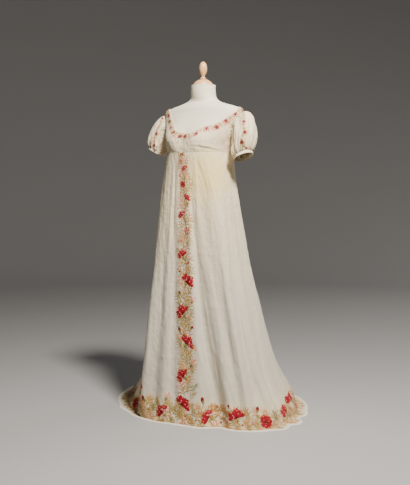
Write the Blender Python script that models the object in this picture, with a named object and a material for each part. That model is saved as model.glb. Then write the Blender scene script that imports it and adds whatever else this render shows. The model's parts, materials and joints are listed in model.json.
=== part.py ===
# A regency gown of embroidered muslin on a limbless dress form. Metres, +Z up.
# +X is the wearer's left and -Y the front. The origin is on the floor, on the axis of the form's pole.
import math

import bmesh
import bpy
import numpy as np

# Cloth and seams
CLOTH = 0.0015            # wall of the muslin
SEAM_GAP = 0.0003         # between two pieces sewn edge to edge
SEAT = 0.0016             # between the gown and the form it rests on
BAND_WIDTH = 0.018        # embroidered band round the neckline, at the shoulders and back
BAND_FRONT_WIDTH = 0.028  # and across the chest
BAND_TAPER = (45.0, 78.0)
BAND_SEAT = 0.0004        # between the band and the form; the gown hangs from it
BAND_GAP = 0.0004         # between the band and the bodice, measured straight down
BINDING_WIDTH = 0.013     # turned edge round the hem
BINDING_WALL = 0.0022
CUFF_WIDTH = 0.013
CUFF_WALL = 0.0016

# Heights and half angles of the cut
WAIST_HEIGHT = 1.140      # the high waist seam, close under the bust
SIDE_SEAM = 80.0          # degrees round from the centre front
BACK_SEAM = 130.0         # where the gored sides of the skirt meet its back

# The figure under the gown, from the form's lower end to the top of its neck
TORSO_ROWS = (
    # row, height, half width, front, back, squareness
    ("lower end", 0.780, 0.160, 0.108, 0.096, 2.2),
    ("hip", 0.850, 0.164, 0.112, 0.098, 2.2),
    ("belly", 0.920, 0.152, 0.114, 0.084, 2.2),
    ("waist", 1.000, 0.136, 0.113, 0.066, 2.2),
    ("ribs", 1.070, 0.135, 0.126, 0.056, 2.2),
    ("under the bust", 1.140, 0.143, 0.143, 0.059, 2.2),
    ("low bust", 1.175, 0.151, 0.137, 0.071, 2.25),
    ("bust", 1.205, 0.161, 0.128, 0.081, 2.3),
    ("chest", 1.235, 0.169, 0.112, 0.088, 2.35),
    ("high chest", 1.262, 0.178, 0.096, 0.089, 2.3),
    ("arm top", 1.284, 0.187, 0.083, 0.087, 2.25),
    ("shoulder end", 1.303, 0.193, 0.073, 0.083, 2.15),
    ("shoulder", 1.318, 0.187, 0.066, 0.077, 2.1),
    ("mid shoulder", 1.330, 0.156, 0.058, 0.072, 2.05),
    ("inner shoulder", 1.341, 0.114, 0.051, 0.070, 2.0),
    ("neck slope", 1.351, 0.080, 0.045, 0.069, 2.0),
    ("neck root", 1.361, 0.062, 0.045, 0.064, 2.0),
    ("low neck", 1.374, 0.0540, 0.048, 0.0575, 2.0),
    ("neck", 1.396, 0.0525, 0.051, 0.0530, 2.0),
    ("neck top", 1.422, 0.052, 0.052, 0.052, 2.0),
)
BUST_APART = 0.074        # each side of the centre front
BUST_HEIGHT = 1.188
BUST_DEPTH = 0.018
BUST_SPREAD = 0.052
BUST_RISE = 0.052         # how far it fades upwards
BUST_DROP = 0.034         # and downwards

# The neckline, round from the centre front to the centre back
NECKLINE = (
    # place, degrees, height on the wearer's left and on the right
    ("centre front", 0.0, 1.2160, 1.2160),
    ("cup", 13.0, 1.2190, 1.2280),
    ("chest", 27.0, 1.2430, 1.2640),
    ("strap", 45.0, 1.2550, 1.3120),
    ("high strap", 65.0, 1.2890, 1.3235),
    ("front of shoulder", 80.0, 1.3130, 1.3245),
    ("shoulder", 90.0, 1.3200, 1.3225),
    ("back of shoulder", 100.0, 1.3170, 1.3185),
    ("shoulder blade", 125.0, 1.3000, 1.3005),
    ("back", 152.0, 1.2860, 1.2860),
    ("centre back", 180.0, 1.2800, 1.2800),
)

BODICE_REACH = 0.06       # rows that the bodice's inner points stay below its top edge

# The armhole, an oval seen from the side
ARMHOLE_HEIGHT = 1.2445
ARMHOLE_HALF_HEIGHT = 0.0535
ARMHOLE_CENTRE = -0.002
ARMHOLE_FRONT = {"left": 0.028, "right": 0.050}
ARMHOLE_BACK = 0.048

# The sleeve, from the armhole down to its gathered cuff
SLEEVES = (
    # side, mirrored, fullness, cuff's centre: outwards from the middle, backwards, height
    ("left", 1.0, 1.06, 0.224, -0.018, 1.117),
    ("right", -1.0, 0.62, 0.233, -0.030, 1.145),
)
CUFF_RADIUS = 0.040
CUFF_TILT = 27.0          # degrees that the cuff's mouth looks outwards
CUFF_TURN = 12.0          # and forwards
SLEEVE_LEAVE = (0.138, 0.062)   # how strongly it leaves the armhole, mean and top
SLEEVE_RISE = 0.080              # and how far its head rises from there
SLEEVE_SPREAD = 0.050
PUFF_OUT = 0.122
PUFF_DROP = 0.085
PUFF_EVEN = 0.62          # share of the puff that is the same all round; the rest is at the top
SLEEVE_FOLDS = 10
SLEEVE_FOLD_DEPTH = 0.0028
SLEEVE_FOLD_FROM = (0.45, 0.85)  # where the gathers start and are full, as shares of the sleeve
SLEEVE_FOLD_AT_CUFF = 0.25

# The skirt's hem on the floor, in order round the wearer, with the seams' places along it
HEM = (
    # place, to the wearer's left, backwards
    ("centre front", 0.038, -0.171),
    ("left of front", 0.100, -0.160),
    ("left knee", 0.160, -0.108),
    ("left front", 0.222, -0.100),
    ("left fold", 0.300, -0.072),
    ("left side", 0.352, -0.012),
    ("left quarter", 0.388, 0.070),
    ("left back side", 0.382, 0.170),
    ("left back", 0.334, 0.290),
    ("left train", 0.258, 0.440),
    ("train corner left", 0.150, 0.548),
    ("train left", 0.010, 0.620),
    ("train", -0.140, 0.655),
    ("train right", -0.300, 0.640),
    ("train corner right", -0.455, 0.570),
    ("right train", -0.585, 0.440),
    ("right back", -0.640, 0.285),
    ("right back side", -0.602, 0.151),
    ("right side", -0.534, 0.034),
    ("right quarter", -0.419, -0.072),
    ("right fold", -0.277, -0.161),
    ("right front", -0.140, -0.198),
    ("right of front", -0.038, -0.180),
)
# Where each seam runs, at the waist in degrees and along the hem in metres from the centre front
SEAM_RUNS = (
    # seam, degrees, hem distance
    ("centre back, right", -180.0, -1.600),
    ("right back seam", -BACK_SEAM, -1.080),
    ("right side seam", -SIDE_SEAM, -0.520),
    ("centre front", 0.0, 0.0),
    ("left side seam", SIDE_SEAM, 0.450),
    ("left back seam", BACK_SEAM, 0.860),
)
# How far each height has spread from the waist's outline to the outline on the floor
SKIRT_ROWS = (
    # row, height, straight share, share of the left's sweep, share of the right's sweep, folds
    ("waist", 1.140, 0.000, 0.000, 0.000, 0.00),
    ("seam", 1.118, 0.030, 0.010, 0.012, 0.30),
    ("ribs", 1.063, 0.100, 0.034, 0.040, 0.50),
    ("high", 0.990, 0.190, 0.072, 0.080, 0.60),
    ("hip", 0.900, 0.285, 0.120, 0.125, 0.70),
    ("thigh", 0.790, 0.375, 0.180, 0.180, 0.80),
    ("upper", 0.670, 0.460, 0.250, 0.240, 0.90),
    ("mid", 0.545, 0.560, 0.335, 0.310, 1.00),
    ("knee", 0.420, 0.670, 0.430, 0.385, 1.00),
    ("shin", 0.300, 0.795, 0.540, 0.470, 1.00),
    ("calf", 0.200, 0.890, 0.655, 0.560, 1.00),
    ("low", 0.120, 0.945, 0.795, 0.670, 0.95),
    ("ankle", 0.055, 0.975, 0.910, 0.830, 0.75),
    ("sweep", 0.016, 0.992, 0.968, 0.950, 0.35),
    ("floor", 0.000, 1.000, 1.000, 1.000, 0.00),
)
TRUMPET_FROM = (40.0, 80.0)       # the wearer's left, from straight to trumpet
TRUMPET_FROM_RIGHT = (35.0, 70.0)
LYING_FRONT = 0.022               # how much of the hem lies on the floor
LYING_BACK = 0.045

# Large folds of the skirt, each a soft ridge or trough down the cloth
FOLDS = (
    # fold, degrees at the waist, degrees at the hem, depth, half width in degrees, from row height
    ("trough beside the band", 10.0, 26.0, -0.015, 5.0, 1.12),
    ("ridge beside the trough", 18.0, 35.0, 0.010, 5.5, 1.08),
    ("trough right of the band", -11.0, -12.0, -0.006, 3.5, 1.10),
    ("ridge right of the trough", -17.0, -17.0, 0.009, 4.5, 1.00),
    ("slanting hollow", -16.0, -29.0, -0.010, 5.0, 0.62),
    ("ridge at the right thigh", -33.0, -38.0, 0.016, 6.5, 1.00),
    ("trough at the right side", -50.0, -56.0, -0.014, 7.0, 1.00),
    ("ridge at the right side", -66.0, -73.0, 0.014, 7.0, 0.90),
    ("left front flute", 33.0, 45.0, -0.009, 5.0, 0.90),
    ("left thigh ridge", 43.0, 52.0, 0.009, 5.5, 0.90),
    ("left side trough", 58.0, 62.0, -0.012, 6.0, 0.95),
    ("left side ridge", 74.0, 78.0, 0.013, 6.5, 0.95),
    ("left gore trough", 90.0, 93.0, -0.016, 6.0, 1.00),
    ("left gore ridge", 105.0, 108.0, 0.014, 6.0, 1.00),
    ("left gore hollow", 119.0, 122.0, -0.014, 5.5, 1.02),
    ("right gore trough", -84.0, -90.0, -0.015, 6.0, 1.00),
    ("right gore ridge", -98.0, -103.0, 0.015, 6.5, 1.00),
    ("right gore hollow", -112.0, -116.0, -0.015, 6.0, 1.02),
)
FOLD_GROWTH = 0.55                # how far down from its start a fold is full
BACK_GATHERS = 8                  # across the back of the waist
GATHER_DEPTH = 0.0042
GATHERS_END = (0.05, 0.45)        # shares of the way down over which they fade
BACK_FLUTES = 5                   # that the gathers fall into
FLUTE_DEPTH = 0.017
FLUTES_START = (0.12, 0.60)
HEM_WAVES = (
    # wave, degrees, depth, half width in degrees
    ("front scallop", 38.0, 0.006, 7.0),
    ("first scallop", 78.0, 0.008, 5.0),
    ("notch", 86.0, -0.016, 3.0),
    ("second scallop", 94.0, 0.010, 5.0),
    ("second notch", 103.0, -0.014, 3.5),
    ("third scallop", 112.0, 0.010, 5.0),
    ("right scallop", -70.0, 0.008, 7.0),
)

# The form's wooden and hidden parts
CAP_PROFILE = (
    # turning, radius, height above the neck top
    ("foot", 0.0400, 0.0000),
    ("foot edge", 0.0412, 0.0022),
    ("dome", 0.0380, 0.0085),
    ("high dome", 0.0290, 0.0165),
    ("crown", 0.0180, 0.0220),
    ("top", 0.0100, 0.0240),
)
FINIAL_PROFILE = (
    # turning, radius, height above the cap
    ("foot", 0.0105, 0.0000),
    ("flange", 0.0128, 0.0020),
    ("flange top", 0.0118, 0.0050),
    ("stem", 0.0068, 0.0090),
    ("stem top", 0.0080, 0.0140),
    ("egg foot", 0.0120, 0.0210),
    ("egg low", 0.0158, 0.0310),
    ("egg", 0.0170, 0.0420),
    ("egg high", 0.0160, 0.0540),
    ("egg shoulder", 0.0120, 0.0650),
    ("egg top", 0.0060, 0.0715),
)
FINIAL_TIP = 0.0735
FORM_EASE = 0.0024        # the form is this much smaller than the gown, except where the gown rests
POLE_RADIUS = 0.0125
BASE_PROFILE = (
    # turning, radius, height
    ("foot", 0.114, 0.0000),
    ("rim", 0.118, 0.0040),
    ("rim top", 0.118, 0.0140),
    ("slope", 0.090, 0.0220),
    ("inner slope", 0.045, 0.0280),
    ("socket", 0.024, 0.0400),
    ("socket top", 0.022, 0.0600),
)
ROUND_STEPS = 24          # faces round a turned piece


def row_values(table, place):
    """Every column of a table at a fractional row, on a smooth curve through its rows."""
    rows = np.array([row[1:] for row in table], float)
    place = np.clip(np.asarray(place, float), 0.0, len(rows) - 1.0)
    low = np.minimum(place.astype(int), len(rows) - 2)
    part = (place - low)[..., None]
    before = rows[np.maximum(low - 1, 0)]
    here = rows[low]
    after = rows[low + 1]
    beyond = rows[np.minimum(low + 2, len(rows) - 1)]
    leave = (after - before) / 2
    arrive = (beyond - here) / 2
    return (
        here * (1 + 2 * part) * (1 - part) ** 2
        + leave * part * (1 - part) ** 2
        + after * part**2 * (3 - 2 * part)
        - arrive * part**2 * (1 - part)
    )


def ease(low, high, value):
    """0 below low, 1 above high, and smooth between."""
    part = np.clip((np.asarray(value, float) - low) / (high - low), 0.0, 1.0)
    return part * part * (3 - 2 * part)


def bump(distance, half_width):
    """A soft hump, 1 at no distance and 0 from twice the half width on."""
    part = np.clip(np.abs(distance) / (2 * half_width), 0.0, 1.0)
    return (1 - part * part) ** 3


def unit(vectors):
    return vectors / np.maximum(np.linalg.norm(vectors, axis=-1, keepdims=True), 1e-12)


# The figure's surface, by degrees round from the front and by row of the table

ROW_STEPS = np.linspace(0.0, len(TORSO_ROWS) - 1.0, 400)
ROW_HEIGHTS = row_values(TORSO_ROWS, ROW_STEPS)[:, 0]


def row_at(height):
    return np.interp(height, ROW_HEIGHTS, ROW_STEPS)


def body(degrees, place):
    degrees, place = np.broadcast_arrays(np.asarray(degrees, float), np.asarray(place, float))
    height, half_width, front, back, square = np.moveaxis(row_values(TORSO_ROWS, place), -1, 0)
    angle = np.radians(degrees)
    across = np.sign(np.sin(angle)) * np.abs(np.sin(angle)) ** (2 / square)
    along = -np.sign(np.cos(angle)) * np.abs(np.cos(angle)) ** (2 / square)
    x = half_width * across
    y = np.where(along < 0, front, back) * along
    sides = np.exp(-(((np.abs(x) - BUST_APART) / BUST_SPREAD) ** 2))
    fade = np.where(height > BUST_HEIGHT, BUST_RISE, BUST_DROP)
    rise = np.exp(-(((height - BUST_HEIGHT) / fade) ** 2))
    y = y - BUST_DEPTH * sides * rise * np.clip(-along, 0.0, 1.0)
    return np.stack([x, y, height], axis=-1)


def body_normal(degrees, place):
    turn = body(degrees + 0.5, place) - body(degrees - 0.5, place)
    rise = body(degrees, place + 0.02) - body(degrees, place - 0.02)
    return unit(np.cross(turn, rise))


def row_below(degrees, place, distances):
    """The rows that lie these distances down the body from others, one for each angle."""
    steps = np.linspace(0.0, 6.0, 241)
    found = []
    for angle, start, distance in zip(degrees, place, distances):
        line = body(angle, start - steps)
        run = np.concatenate([[0.0], np.cumsum(np.linalg.norm(np.diff(line, axis=0), axis=1))])
        found.append(start - np.interp(distance, run, steps))
    return np.array(found)


def band_width(degrees):
    """The neckline band's width, by degrees from the centre front."""
    return BAND_FRONT_WIDTH + (BAND_WIDTH - BAND_FRONT_WIDTH) * ease(*BAND_TAPER, np.abs(degrees))


def neckline_row(degrees):
    """The row of the neckline. Angles below 0 are on the wearer's right."""
    angles = np.array([row[1] for row in NECKLINE])
    count = np.arange(len(angles), dtype=float)
    heights = row_values(NECKLINE, np.interp(np.abs(degrees), angles, count))
    return row_at(np.where(np.asarray(degrees) < 0, heights[..., 2], heights[..., 1]))


def armhole(turn, side):
    """Degrees and row of the armhole's points. A turn of 0 is its top and 90 its front."""
    turn = np.radians(turn)
    height = ARMHOLE_HEIGHT + ARMHOLE_HALF_HEIGHT * np.cos(turn)
    reach = np.where(np.sin(turn) > 0, ARMHOLE_FRONT[side], ARMHOLE_BACK)
    y = ARMHOLE_CENTRE - reach * np.sin(turn)
    place = row_at(height)
    _, _, front, back, square = np.moveaxis(row_values(TORSO_ROWS, place), -1, 0)
    depth = np.where(y < 0, front, back)
    lean = np.degrees(np.arccos(np.clip(np.abs(y) / depth, 0.0, 1.0) ** (square / 2)))
    return np.where(y < 0, lean, 180.0 - lean), place


# Building solids

def make_material(name, colour, roughness):
    material = bpy.data.materials.new(name)
    material.use_nodes = True
    shader = material.node_tree.nodes["Principled BSDF"]
    shader.inputs["Base Color"].default_value = (*colour, 1.0)
    shader.inputs["Roughness"].default_value = roughness
    shader.inputs["Metallic"].default_value = 0.0
    return material


def add_object(name, points, faces, material, sharp=50.0):
    mesh = bpy.data.meshes.new(name)
    mesh.from_pydata([tuple(map(float, point)) for point in points], [], faces)
    shape = bmesh.new()
    shape.from_mesh(mesh)
    bmesh.ops.recalc_face_normals(shape, faces=shape.faces)
    if shape.calc_volume(signed=True) < 0:
        bmesh.ops.reverse_faces(shape, faces=shape.faces)
    shape.to_mesh(mesh)
    shape.free()
    mesh.materials.append(material)
    mesh.shade_smooth()
    mesh.set_sharp_from_angle(angle=math.radians(sharp))
    obj = bpy.data.objects.new(name, mesh)
    bpy.context.scene.collection.objects.link(obj)
    return obj


def wall(name, inner, outer, material, closed=False):
    """A thin solid between two grids of points. A closed one joins its last column to its first."""
    columns, rows = inner.shape[:2]
    points = np.concatenate([inner.reshape(-1, 3), outer.reshape(-1, 3)])
    step = columns * rows

    def at(column, row, side):
        return (column % columns) * rows + row + side * step

    faces = []
    last = columns if closed else columns - 1
    for column in range(last):
        for row in range(rows - 1):
            for side in (0, 1):
                a, b = at(column, row, side), at(column + 1, row, side)
                c, d = at(column + 1, row + 1, side), at(column, row + 1, side)
                faces += [(a, b, c), (a, c, d)] if side else [(c, b, a), (d, c, a)]
        for row in (0, rows - 1):
            a, b = at(column, row, 0), at(column + 1, row, 0)
            c, d = at(column + 1, row, 1), at(column, row, 1)
            faces += [(a, b, c), (a, c, d)] if row == 0 else [(c, b, a), (d, c, a)]
    if not closed:
        for column in (0, columns - 1):
            for row in range(rows - 1):
                a, b = at(column, row, 0), at(column, row + 1, 0)
                c, d = at(column, row + 1, 1), at(column, row, 1)
                faces += [(a, b, c), (a, c, d)] if column else [(c, b, a), (d, c, a)]
    return add_object(name, points, faces, material)


def turned(name, profile, foot, tip, material, steps=ROUND_STEPS):
    """A solid turned about the pole's axis. The tip is a height, or None for a flat top."""
    rings = [(radius, foot + height) for _, radius, height in profile]
    angles = [2 * math.pi * step / steps for step in range(steps)]
    points = [(r * math.cos(a), r * math.sin(a), z) for r, z in rings for a in angles]
    faces = []
    for ring in range(len(rings) - 1):
        for step in range(steps):
            a, b = ring * steps + step, ring * steps + (step + 1) % steps
            faces.append((a, b, b + steps, a + steps))
    points.append((0.0, 0.0, rings[0][1]))
    points.append((0.0, 0.0, rings[-1][1] if tip is None else foot + tip))
    top = (len(rings) - 1) * steps
    for step in range(steps):
        after = (step + 1) % steps
        faces.append((len(points) - 2, after, step))
        faces.append((len(points) - 1, top + step, top + after))
    return add_object(name, points, faces, material)


def grid_normals(grid, closed):
    """Unit normals of a grid of points whose columns run round and whose rows run down."""
    if closed:
        around = np.roll(grid, -1, axis=0) - np.roll(grid, 1, axis=0)
    else:
        around = np.gradient(grid, axis=0)
    return unit(np.cross(np.gradient(grid, axis=1), around))


# The form

def build_torso(material):
    steps = 32
    angles = np.arange(steps) * 360.0 / steps
    places = np.concatenate([np.arange(0.0, 5.0), np.arange(5.0, 18.0, 0.8), [18.0, 19.0]])
    turn, place = np.meshgrid(angles, places, indexing="ij")
    points = body(turn, place)
    shoulder = row_at(ARMHOLE_HEIGHT + ARMHOLE_HALF_HEIGHT)
    inset = FORM_EASE * (1 - ease(shoulder + 0.8, shoulder + 2.2, place))
    points = points - body_normal(turn, np.clip(place, 0.1, 18.9)) * inset[..., None]
    points[:, 0, 2] = TORSO_ROWS[0][1]
    points[:, -1, 2] = TORSO_ROWS[-1][1]
    rows = len(places)
    flat = list(points.reshape(-1, 3))
    faces = []
    for column in range(steps):
        after = (column + 1) % steps
        for row in range(rows - 1):
            a, b = column * rows + row, after * rows + row
            faces.append((a, b, b + 1))
            faces.append((a, b + 1, a + 1))
    flat.append((0.0, 0.0, TORSO_ROWS[0][1]))
    flat.append((0.0, 0.0, TORSO_ROWS[-1][1]))
    for column in range(steps):
        after = (column + 1) % steps
        faces.append((len(flat) - 2, after * rows, column * rows))
        faces.append((len(flat) - 1, column * rows + rows - 1, after * rows + rows - 1))
    return add_object("form_torso", flat, faces, material)


def build_form(cover, wood, iron):
    build_torso(cover)
    neck_top = TORSO_ROWS[-1][1]
    cap_top = CAP_PROFILE[-1][2]
    turned("form_neck_cap", CAP_PROFILE, neck_top + SEAM_GAP, None, wood)
    turned("form_finial", FINIAL_PROFILE, neck_top + cap_top + 2 * SEAM_GAP, FINIAL_TIP, wood)
    turned("form_base", BASE_PROFILE, 0.0, None, wood)
    foot = BASE_PROFILE[-1][2] + SEAM_GAP
    length = TORSO_ROWS[0][1] - SEAM_GAP - foot
    pole = (("foot", POLE_RADIUS, 0.0), ("top", POLE_RADIUS, length))
    turned("form_pole", pole, foot, None, iron, steps=16)


# The bodice

def patch(bottom, top, left, right):
    """Fills four edges, each an array of (degrees, row), with a grid of columns and rows."""
    across = np.linspace(0.0, 1.0, len(bottom))[:, None, None]
    up = np.linspace(0.0, 1.0, len(left))[None, :, None]
    return (
        (1 - up) * bottom[:, None]
        + up * top[:, None]
        + (1 - across) * left[None]
        + across * right[None]
        - (1 - across) * (1 - up) * bottom[0]
        - across * (1 - up) * bottom[-1]
        - (1 - across) * up * top[0]
        - across * up * top[-1]
    )


def spaced(points, count):
    """The same path with evenly spaced points, measured on the body."""
    points = np.asarray(points, float)
    line = body(points[:, 0], points[:, 1])
    run = np.concatenate([[0.0], np.cumsum(np.linalg.norm(np.diff(line, axis=0), axis=1))])
    wanted = np.linspace(0.0, run[-1], count)
    return np.stack([np.interp(wanted, run, points[:, 0]), np.interp(wanted, run, points[:, 1])], 1)


def level(start, end, place, count=60):
    """A path round the body along one row, or along a row worked out for each angle."""
    angles = np.linspace(start, end, count)
    rows = place(angles) if callable(place) else np.full(count, place)
    return np.stack([angles, rows], axis=1)


def upright(degrees, low, high, count=40):
    return np.stack([np.full(count, float(degrees)), np.linspace(low, high, count)], axis=1)


def band_edge(degrees):
    """The rows where the bodice meets the neckline band."""
    degrees = np.atleast_1d(degrees)
    return row_below(degrees, neckline_row(degrees), band_width(degrees) + BAND_GAP)


def armhole_edge(start, end, side, count=60):
    degrees, place = armhole(np.linspace(start, end, count), side)
    return np.stack([degrees, place], axis=1)


def side_join(side):
    """The turn of the armhole at which the side seam meets it."""
    turns = np.linspace(110.0, 200.0, 400)
    degrees, _ = armhole(turns, side)
    return float(np.interp(SIDE_SEAM, degrees, turns))


def bodice_grid(front, side, columns, rows):
    """A half of the bodice, drawn as if on the wearer's left."""
    waist = row_at(WAIST_HEIGHT)
    join = side_join(side)
    _, join_row = armhole(join, side)
    sign = 1.0 if side == "left" else -1.0
    if front:
        centre, seam, shoulder = 0.0, SIDE_SEAM, 90.0
        arm = armhole_edge(join, 0.0, side)
    else:
        centre, seam, shoulder = 180.0, SIDE_SEAM, 90.0
        arm = armhole_edge(join, 360.0, side)
    shoulder_end = arm[-1, 1]
    edge = float(band_edge(sign * shoulder)[0])
    side = np.concatenate([
        upright(seam, waist, join_row),
        arm[1:],
        upright(shoulder, shoulder_end, edge)[1:],
    ])
    top = level(centre, shoulder, lambda angles: band_edge(sign * angles), columns)
    middle = upright(centre, waist, top[0, 1])
    bottom = level(centre, seam, waist)
    grid = patch(spaced(bottom, columns), top, spaced(middle, rows), spaced(side, rows))
    below = grid[:, :-1]
    highest = band_edge(sign * below[..., 0].ravel()).reshape(below.shape[:2]) - BODICE_REACH
    below[..., 1] = np.minimum(below[..., 1], highest)
    return grid


def body_wall(name, domain, material, mirror, seat=SEAT, thickness=CLOTH, floor=None):
    """A cloth wall that lies on the body where the domain says, on one side of the wearer."""
    degrees, place = domain[..., 0], domain[..., 1]
    normal = body_normal(degrees, place)
    inner = body(degrees, place) + normal * seat
    outer = inner + normal * thickness
    inner, outer = pull_in(inner), pull_in(outer)
    if floor is not None:
        inner[:, 0, 2] = floor
        outer[:, 0, 2] = floor
    if mirror:
        inner = inner * (-1, 1, 1)
        outer = outer * (-1, 1, 1)
    return wall(name, inner, outer, material)


def pull_in(grid):
    """Moves a panel's two side edges in by half a seam."""
    grid = grid.copy()
    for edge, inside in ((0, 1), (-1, -2)):
        grid[edge] += unit(grid[inside] - grid[edge]) * SEAM_GAP / 2
    return grid


def build_bodice(muslin):
    floor = WAIST_HEIGHT + SEAM_GAP / 2
    for part, front, columns, rows in (("front", True, 16, 11), ("back", False, 11, 11)):
        for side in ("left", "right"):
            domain = bodice_grid(front, side, columns, rows)
            body_wall(f"bodice_{part}_{side}", domain, muslin, side == "right", floor=floor)


def build_neckline_band(muslin):
    for part, start, end, columns in (("front", -90.0, 90.0, 31), ("back", 90.0, 270.0, 21)):
        degrees = np.linspace(start, end, columns)
        signed = wrapped(degrees)
        top = neckline_row(signed)
        shares = np.array([1.0, 0.5, 0.0])
        width = band_width(signed)
        rows = np.stack([row_below(degrees, top, width * share) for share in shares], 1)
        domain = np.stack([np.repeat(degrees[:, None], len(shares), axis=1), rows], axis=-1)
        body_wall(f"neckline_band_{part}", domain, muslin, False, seat=BAND_SEAT)


# The sleeves

def sleeve_points(turn, share, side, centre, fullness):
    """Points of a sleeve drawn on the wearer's left, from the armhole, share 0, to its cuff."""
    degrees, place = armhole(turn, side)
    leave = body(degrees, place) + body_normal(degrees, place) * (SEAT + CLOTH + SEAM_GAP)
    turn = np.radians(turn)[..., None]
    mouth, out, front = cuff_axes()
    spoke = np.cos(turn) * out + np.sin(turn) * front
    arrive = centre + spoke * CUFF_RADIUS - mouth * (CUFF_WIDTH + SEAM_GAP)
    mean, top = SLEEVE_LEAVE
    start = (mean + top * np.cos(turn)) * np.array([1.0, 0.0, 0.0])
    start = start + SLEEVE_SPREAD * np.sin(turn) * np.array([0.0, -1.0, 0.0])
    start = start + SLEEVE_RISE * ((1 + np.cos(turn)) / 2) ** 2 * np.array([0.0, 0.0, 1.0])
    weight = PUFF_EVEN + (1 - PUFF_EVEN) * np.cos(turn)
    finish = -spoke * PUFF_OUT * weight + np.array([0.0, 0.0, -PUFF_DROP])
    start, finish = start * fullness, finish * fullness
    share = np.asarray(share, float)[..., None]
    points = (
        leave * (1 + 2 * share) * (1 - share) ** 2
        + start * share * (1 - share) ** 2
        + arrive * share**2 * (3 - 2 * share)
        - finish * share**2 * (1 - share)
    )
    pleat = np.cos(SLEEVE_FOLDS * turn) * SLEEVE_FOLD_DEPTH * ease(*SLEEVE_FOLD_FROM, share)
    pleat = pleat * (1 - (1 - SLEEVE_FOLD_AT_CUFF) * ease(0.9, 1.0, share))
    return points + spoke * pleat


def cuff_axes():
    """The cuff's mouth direction, and the two directions across it: outwards and forwards."""
    tilt, turn = math.radians(CUFF_TILT), math.radians(CUFF_TURN)
    away = np.array([math.cos(turn), -math.sin(turn), 0.0])
    mouth = away * math.sin(tilt) + np.array([0.0, 0.0, -math.cos(tilt)])
    out = away * math.cos(tilt) + np.array([0.0, 0.0, math.sin(tilt)])
    front = np.cross(mouth, out)
    return mouth, out, front if front[1] < 0 else -front


def build_sleeves(muslin):
    columns = 40
    turns = np.arange(columns) * 360.0 / columns
    shares = np.array([0.0, 0.10, 0.22, 0.36, 0.50, 0.64, 0.77, 0.88, 1.0])
    turn, share = np.meshgrid(turns, shares, indexing="ij")
    mouth, out, front = cuff_axes()
    spoke = np.cos(np.radians(turns))[:, None] * out + np.sin(np.radians(turns))[:, None] * front
    for side, mirrored, fullness, *place in SLEEVES:
        mirror = np.array([mirrored, 1.0, 1.0])
        centre = np.array(place)
        inner = sleeve_points(turn, share, side, centre, fullness)
        outer = inner - grid_normals(inner, True) * CLOTH
        outer[:, -1] = inner[:, -1] + spoke * CLOTH
        wall(f"sleeve_{side}", inner * mirror, outer * mirror, muslin, closed=True)
        ring = centre + spoke * CUFF_RADIUS
        cuff_inner = np.stack([ring - mouth * CUFF_WIDTH, ring], axis=1)
        cuff_outer = cuff_inner + spoke[:, None] * CUFF_WALL
        wall(f"cuff_{side}", cuff_inner * mirror, cuff_outer * mirror, muslin, closed=True)


# The skirt

def closed_curve(points, step=0.002):
    """A smooth closed curve through the points, as dense points and their distance from the first."""
    points = np.asarray(points, float)
    rows = np.concatenate([points[-1:], points, points[:2]])
    dense = []
    for index in range(len(points)):
        p0, p1, p2, p3 = rows[index : index + 4]
        count = max(2, int(np.linalg.norm(p2 - p1) / step))
        part = (np.arange(count) / count)[:, None]
        leave, arrive = (p2 - p0) / 2, (p3 - p1) / 2
        dense.append(
            p1 * (1 + 2 * part) * (1 - part) ** 2
            + leave * part * (1 - part) ** 2
            + p2 * part**2 * (3 - 2 * part)
            - arrive * part**2 * (1 - part)
        )
    dense = np.concatenate(dense + [points[:1]])
    run = np.concatenate([[0.0], np.cumsum(np.linalg.norm(np.diff(dense, axis=0), axis=1))])
    return dense, run


HEM_CURVE, HEM_RUN = closed_curve([row[1:] for row in HEM])
HEM_LENGTH = float(HEM_RUN[-1])


def wrapped(degrees):
    """The same angle between -180 and 180."""
    return (np.asarray(degrees, float) + 180.0) % 360.0 - 180.0


def hem_distance(degrees):
    """The distance along the hem that goes with an angle at the waist."""
    degrees = wrapped(degrees)
    angles = [row[1] for row in SEAM_RUNS] + [180.0]
    runs = [row[2] for row in SEAM_RUNS] + [SEAM_RUNS[0][2] + HEM_LENGTH]
    return np.interp(degrees, angles, runs)


def hem_outline(degrees):
    """Points of the hem on the floor, and the direction outwards from it."""
    run = hem_distance(degrees) % HEM_LENGTH
    point = np.stack([np.interp(run, HEM_RUN, HEM_CURVE[:, i]) for i in (0, 1)], axis=-1)
    reach = 0.03
    ahead = (run + reach) % HEM_LENGTH
    behind = (run - reach) % HEM_LENGTH
    along = unit(np.stack([
        np.interp(ahead, HEM_RUN, HEM_CURVE[:, i]) - np.interp(behind, HEM_RUN, HEM_CURVE[:, i])
        for i in (0, 1)
    ], axis=-1))
    out = np.stack([along[..., 1], -along[..., 0]], axis=-1)
    turn = wrapped(degrees)
    wave = sum(depth * bump(turn - at, width) for _, at, depth, width in HEM_WAVES)
    return point + out * wave[..., None], out


def trumpet(degrees):
    """0 where the skirt falls straight to the floor and 1 where it sweeps out over it."""
    left = ease(*TRUMPET_FROM, wrapped(degrees))
    right = ease(*TRUMPET_FROM_RIGHT, -wrapped(degrees))
    return np.maximum(left, right)


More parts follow.
